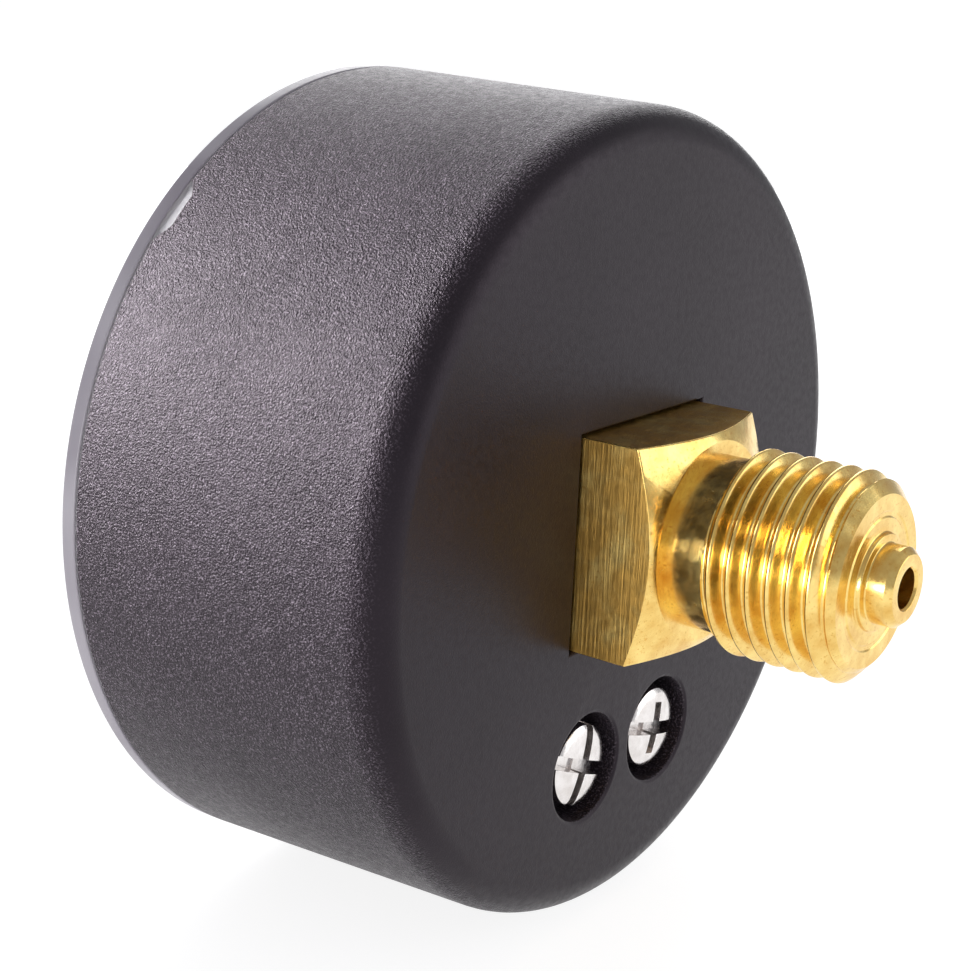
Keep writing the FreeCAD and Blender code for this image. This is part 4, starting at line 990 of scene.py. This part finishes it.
def lettering(text, size, centre):
    """Mesh of a short text that reads from the front, centred at a point of the dial."""
    curve = bpy.data.curves.new("lettering", "FONT")
    curve.body = text
    curve.size = size
    curve.align_x = "CENTER"
    curve.align_y = "CENTER"
    curve.offset = LETTER_WEIGHT * size
    curve.extrude = PRINT
    curve.resolution_u = 6
    obj = new_object("lettering", curve)
    mesh = bpy.data.meshes.new_from_object(obj)
    bpy.data.objects.remove(obj)
    upright = Matrix.Rotation(math.radians(90), 4, "X")
    mesh.transform(Matrix.Translation((centre.x, DIAL_Y, centre.z)) @ upright)
    return mesh


def dial_numerals():
    bm = bmesh.new()
    for value in range(0, SCALE_TOP + 1, NUMERAL_EVERY):
        centre = on_dial(NUMERAL_R, scale_angle(value))
        bm.from_mesh(lettering(str(value), NUMERAL_SIZE, centre))
    bm.from_mesh(lettering("bar", UNIT_SIZE, Vector((0, 0, -UNIT_DROP))))
    return dress(from_bmesh("dial_numerals", bm), INK, "gauge")


def pointer_piece():
    """Tapered pointer with an eye round the hub and a counterweight tail, its edges eased."""
    outline = list(POINTER_SIDE)
    for step in range(1, POINTER_EYE_STEPS):
        turned = POINTER_EYE_SWEEP * step / POINTER_EYE_STEPS
        angle = math.radians(POINTER_EYE_START + turned)
        outline.append((POINTER_EYE_R * math.cos(angle), POINTER_EYE_R * math.sin(angle)))
    outline += POINTER_TAIL_SIDE
    outline += [(x, -z) for x, z in reversed(outline[1:])]
    zero = math.radians(ZERO_ANGLE)
    cos, sin = math.cos(zero), math.sin(zero)
    corners = [Vector((x * cos - z * sin, 0, x * sin + z * cos)) for x, z in outline]
    bm = bmesh.new()
    prism(bm, corners, pointer_low.y, pointer_high.y)
    blade = bevel(from_bmesh("pointer_blade", bm), POINTER_EDGE, 2, 30)
    return dress(smooth(blade, 40), NEEDLE, "pointer_shaft", ("pointer",))


def pointer_cap():
    """Turned hub pressed on the arbor."""
    radius, floor_y = hub_high.x, hub_low.y + HUB_RECESS
    outline = rounded([
        (ARBOR_HOLE_R, hub_high.y, 0), (radius, hub_high.y, 0.12 * MM),
        (radius, hub_low.y, 0.28 * MM), (HUB_RECESS_R, hub_low.y, 0.08 * MM),
        (HUB_RECESS_R - 0.15 * MM, floor_y, 0.05 * MM), (ARBOR_HOLE_R, floor_y, 0.04 * MM),
        (ARBOR_HOLE_R, hub_high.y, 0),
    ], 6)
    cap = smooth(lathe("pointer_cap", outline, HUB_STEPS), 35)
    return dress(cap, NEEDLE, "pointer_shaft", ("pointer_hub",))


def dial_screw_pieces():
    """Two cheese-head screws that hold the dial."""
    head_r, head, half = DIAL_SCREW_HEAD_R, DIAL_SCREW_HEAD, DIAL_SCREW_SLOT_HALF
    for index, side in enumerate((1, -1)):
        outline = rounded([
            (0, head, 0), (head_r, head, 0.18 * MM), (head_r, 0, 0.05 * MM),
            (DIAL_SCREW_SHANK_R, 0, 0), (DIAL_SCREW_SHANK_R, -DIAL_SCREW_SHANK, 0.2 * MM),
            (0, -DIAL_SCREW_SHANK, 0),
        ], 5)
        screw = lathe("screw", outline, SCREW_STEPS)
        slot_low = (-2 * head_r, DIAL_SCREW_SLOT_FLOOR, -half)
        combine(screw, block("slot", slot_low, (2 * head_r, 2 * head, half)), "DIFFERENCE")
        bevel(screw, DIAL_SCREW_EDGE, 2, 40)
        flip = Matrix.Rotation(math.pi, 4, "X")
        turn = Matrix.Rotation(math.radians(DIAL_SCREW_TURNS[index]), 4, "Y")
        place = Matrix.Translation((0, DIAL_Y, side * DIAL_SCREW_REACH))
        screw.data.transform(place @ turn @ flip)
        screw.name = f"dial_screw_{index + 1}"
        replaced = ("dial_screws",) if index == 0 else ()
        dress(smooth(screw, 30), NICKEL, "gauge", replaced)


# --- scene --------------------------------------------------------------------

STUDIO_COLOUR = (0.95, 0.96, 1.0, 1)
STUDIO_STRENGTH = 0.48
FLOOR_DROP = 0.02 * MM
FLOOR_HALF = 4.0
FLOOR_GLOW = 0.84


def world_light():
    """Dim studio that the camera sees as plain white."""
    world = bpy.data.worlds.new("studio")
    bpy.context.scene.world = world
    world.use_nodes = True
    tree = world.node_tree
    background = tree.nodes["Background"]
    background.inputs["Color"].default_value = STUDIO_COLOUR
    background.inputs["Strength"].default_value = STUDIO_STRENGTH
    backdrop = tree.nodes.new("ShaderNodeBackground")
    backdrop.inputs["Color"].default_value = (1, 1, 1, 1)
    seen = tree.nodes.new("ShaderNodeLightPath")
    mix = tree.nodes.new("ShaderNodeMixShader")
    tree.links.new(seen.outputs["Is Camera Ray"], mix.inputs["Fac"])
    tree.links.new(background.outputs[0], mix.inputs[1])
    tree.links.new(backdrop.outputs[0], mix.inputs[2])
    tree.links.new(mix.outputs[0], tree.nodes["World Output"].inputs["Surface"])


def softbox(name, azimuth, elevation, distance, size, power, only=()):
    """Area light facing the middle of the gauge; it may light only some pieces."""
    data = bpy.data.lights.new(name, "AREA")
    data.shape = "RECTANGLE"
    data.size, data.size_y = size
    data.energy = power
    obj = bpy.data.objects.new(name, data)
    bpy.context.scene.collection.objects.link(obj)
    obj.location = direction(azimuth, elevation) * distance
    obj.rotation_euler = obj.location.to_track_quat("Z", "Y").to_euler()
    obj.visible_camera = False
    if only:
        lit = bpy.data.collections.new(name)
        for piece in only:
            lit.objects.link(piece)
        obj.light_linking.receiver_collection = lit


def direction(azimuth, elevation):
    """Unit vector towards a viewer; azimuth 0 looks along +Y, with +X to the right."""
    az, el = math.radians(azimuth), math.radians(elevation)
    return Vector((math.sin(az) * math.cos(el), -math.cos(az) * math.cos(el), math.sin(el)))


def floor():
    """Plain pale floor that the case stands on."""
    bm = bmesh.new()
    bmesh.ops.create_grid(bm, x_segments=8, y_segments=8, size=FLOOR_HALF)
    obj = from_bmesh("floor", bm)
    obj.location.z = case_low.z - FLOOR_DROP
    n = Nodes("floor_paper")
    paper = n.colours(n.noise(0.4, 2.0), (0.3, (0.32, 0.32, 0.32)), (0.7, (0.35, 0.35, 0.35)))
    n.into(paper, "Base Color")
    n.set(Roughness=0.9, Emission_Color=(1.0, 1.0, 1.0, 1.0), Emission_Strength=FLOOR_GLOW)
    obj.data.materials.append(n.material)


VIEW_AZIMUTH = 121.27
VIEW_ELEVATION = 16.54
VIEW_ROLL = 3.97
VIEW_PAN = 4.54
VIEW_TILT = 1.12
VIEW_DISTANCE = 4.576 * CASE_R
LENS = 71.43
SENSOR = 36.0


def camera():
    """Close view from behind and above, on the side of 3 o'clock."""
    data = bpy.data.cameras.new("camera")
    data.lens = LENS
    data.sensor_width = SENSOR
    data.clip_start = 0.01
    obj = bpy.data.objects.new("camera", data)
    bpy.context.scene.collection.objects.link(obj)
    back = direction(VIEW_AZIMUTH, VIEW_ELEVATION)
    right = Vector((0, 0, 1)).cross(back).normalized()
    up = back.cross(right)
    basis = Matrix((right, up, back)).transposed()
    turn = Matrix.Rotation(math.radians(VIEW_ROLL), 3, "Z")
    pan = Matrix.Rotation(math.radians(VIEW_PAN), 3, "Y")
    tilt = Matrix.Rotation(math.radians(VIEW_TILT), 3, "X")
    basis = basis @ turn @ pan @ tilt
    place = Vector((0, REAR_Y, 0)) + back * VIEW_DISTANCE
    obj.matrix_world = Matrix.Translation(place) @ basis.to_4x4()
    bpy.context.scene.camera = obj


dress_cad_nodes()
outside = [case_piece(), socket_piece()]
window_piece()
case_screw_pieces()
dial_scale()
dial_numerals()
pointer_piece()
pointer_cap()
dial_screw_pieces()
world_light()
floor()
camera()
# name, azimuth and elevation in degrees, distance and size in metres, power in watts
softbox("behind_left", 215, 14, 0.45, (0.40, 0.26), 0.52)
softbox("near_front", 33, 24, 0.125, (0.085, 0.08), 0.42, outside)
softbox("front_left", 308, 20, 0.40, (0.30, 0.40), 0.85)
softbox("right", 78, -6, 0.40, (0.25, 0.25), 1.9)
bpy.context.scene.view_settings.view_transform = "Standard"
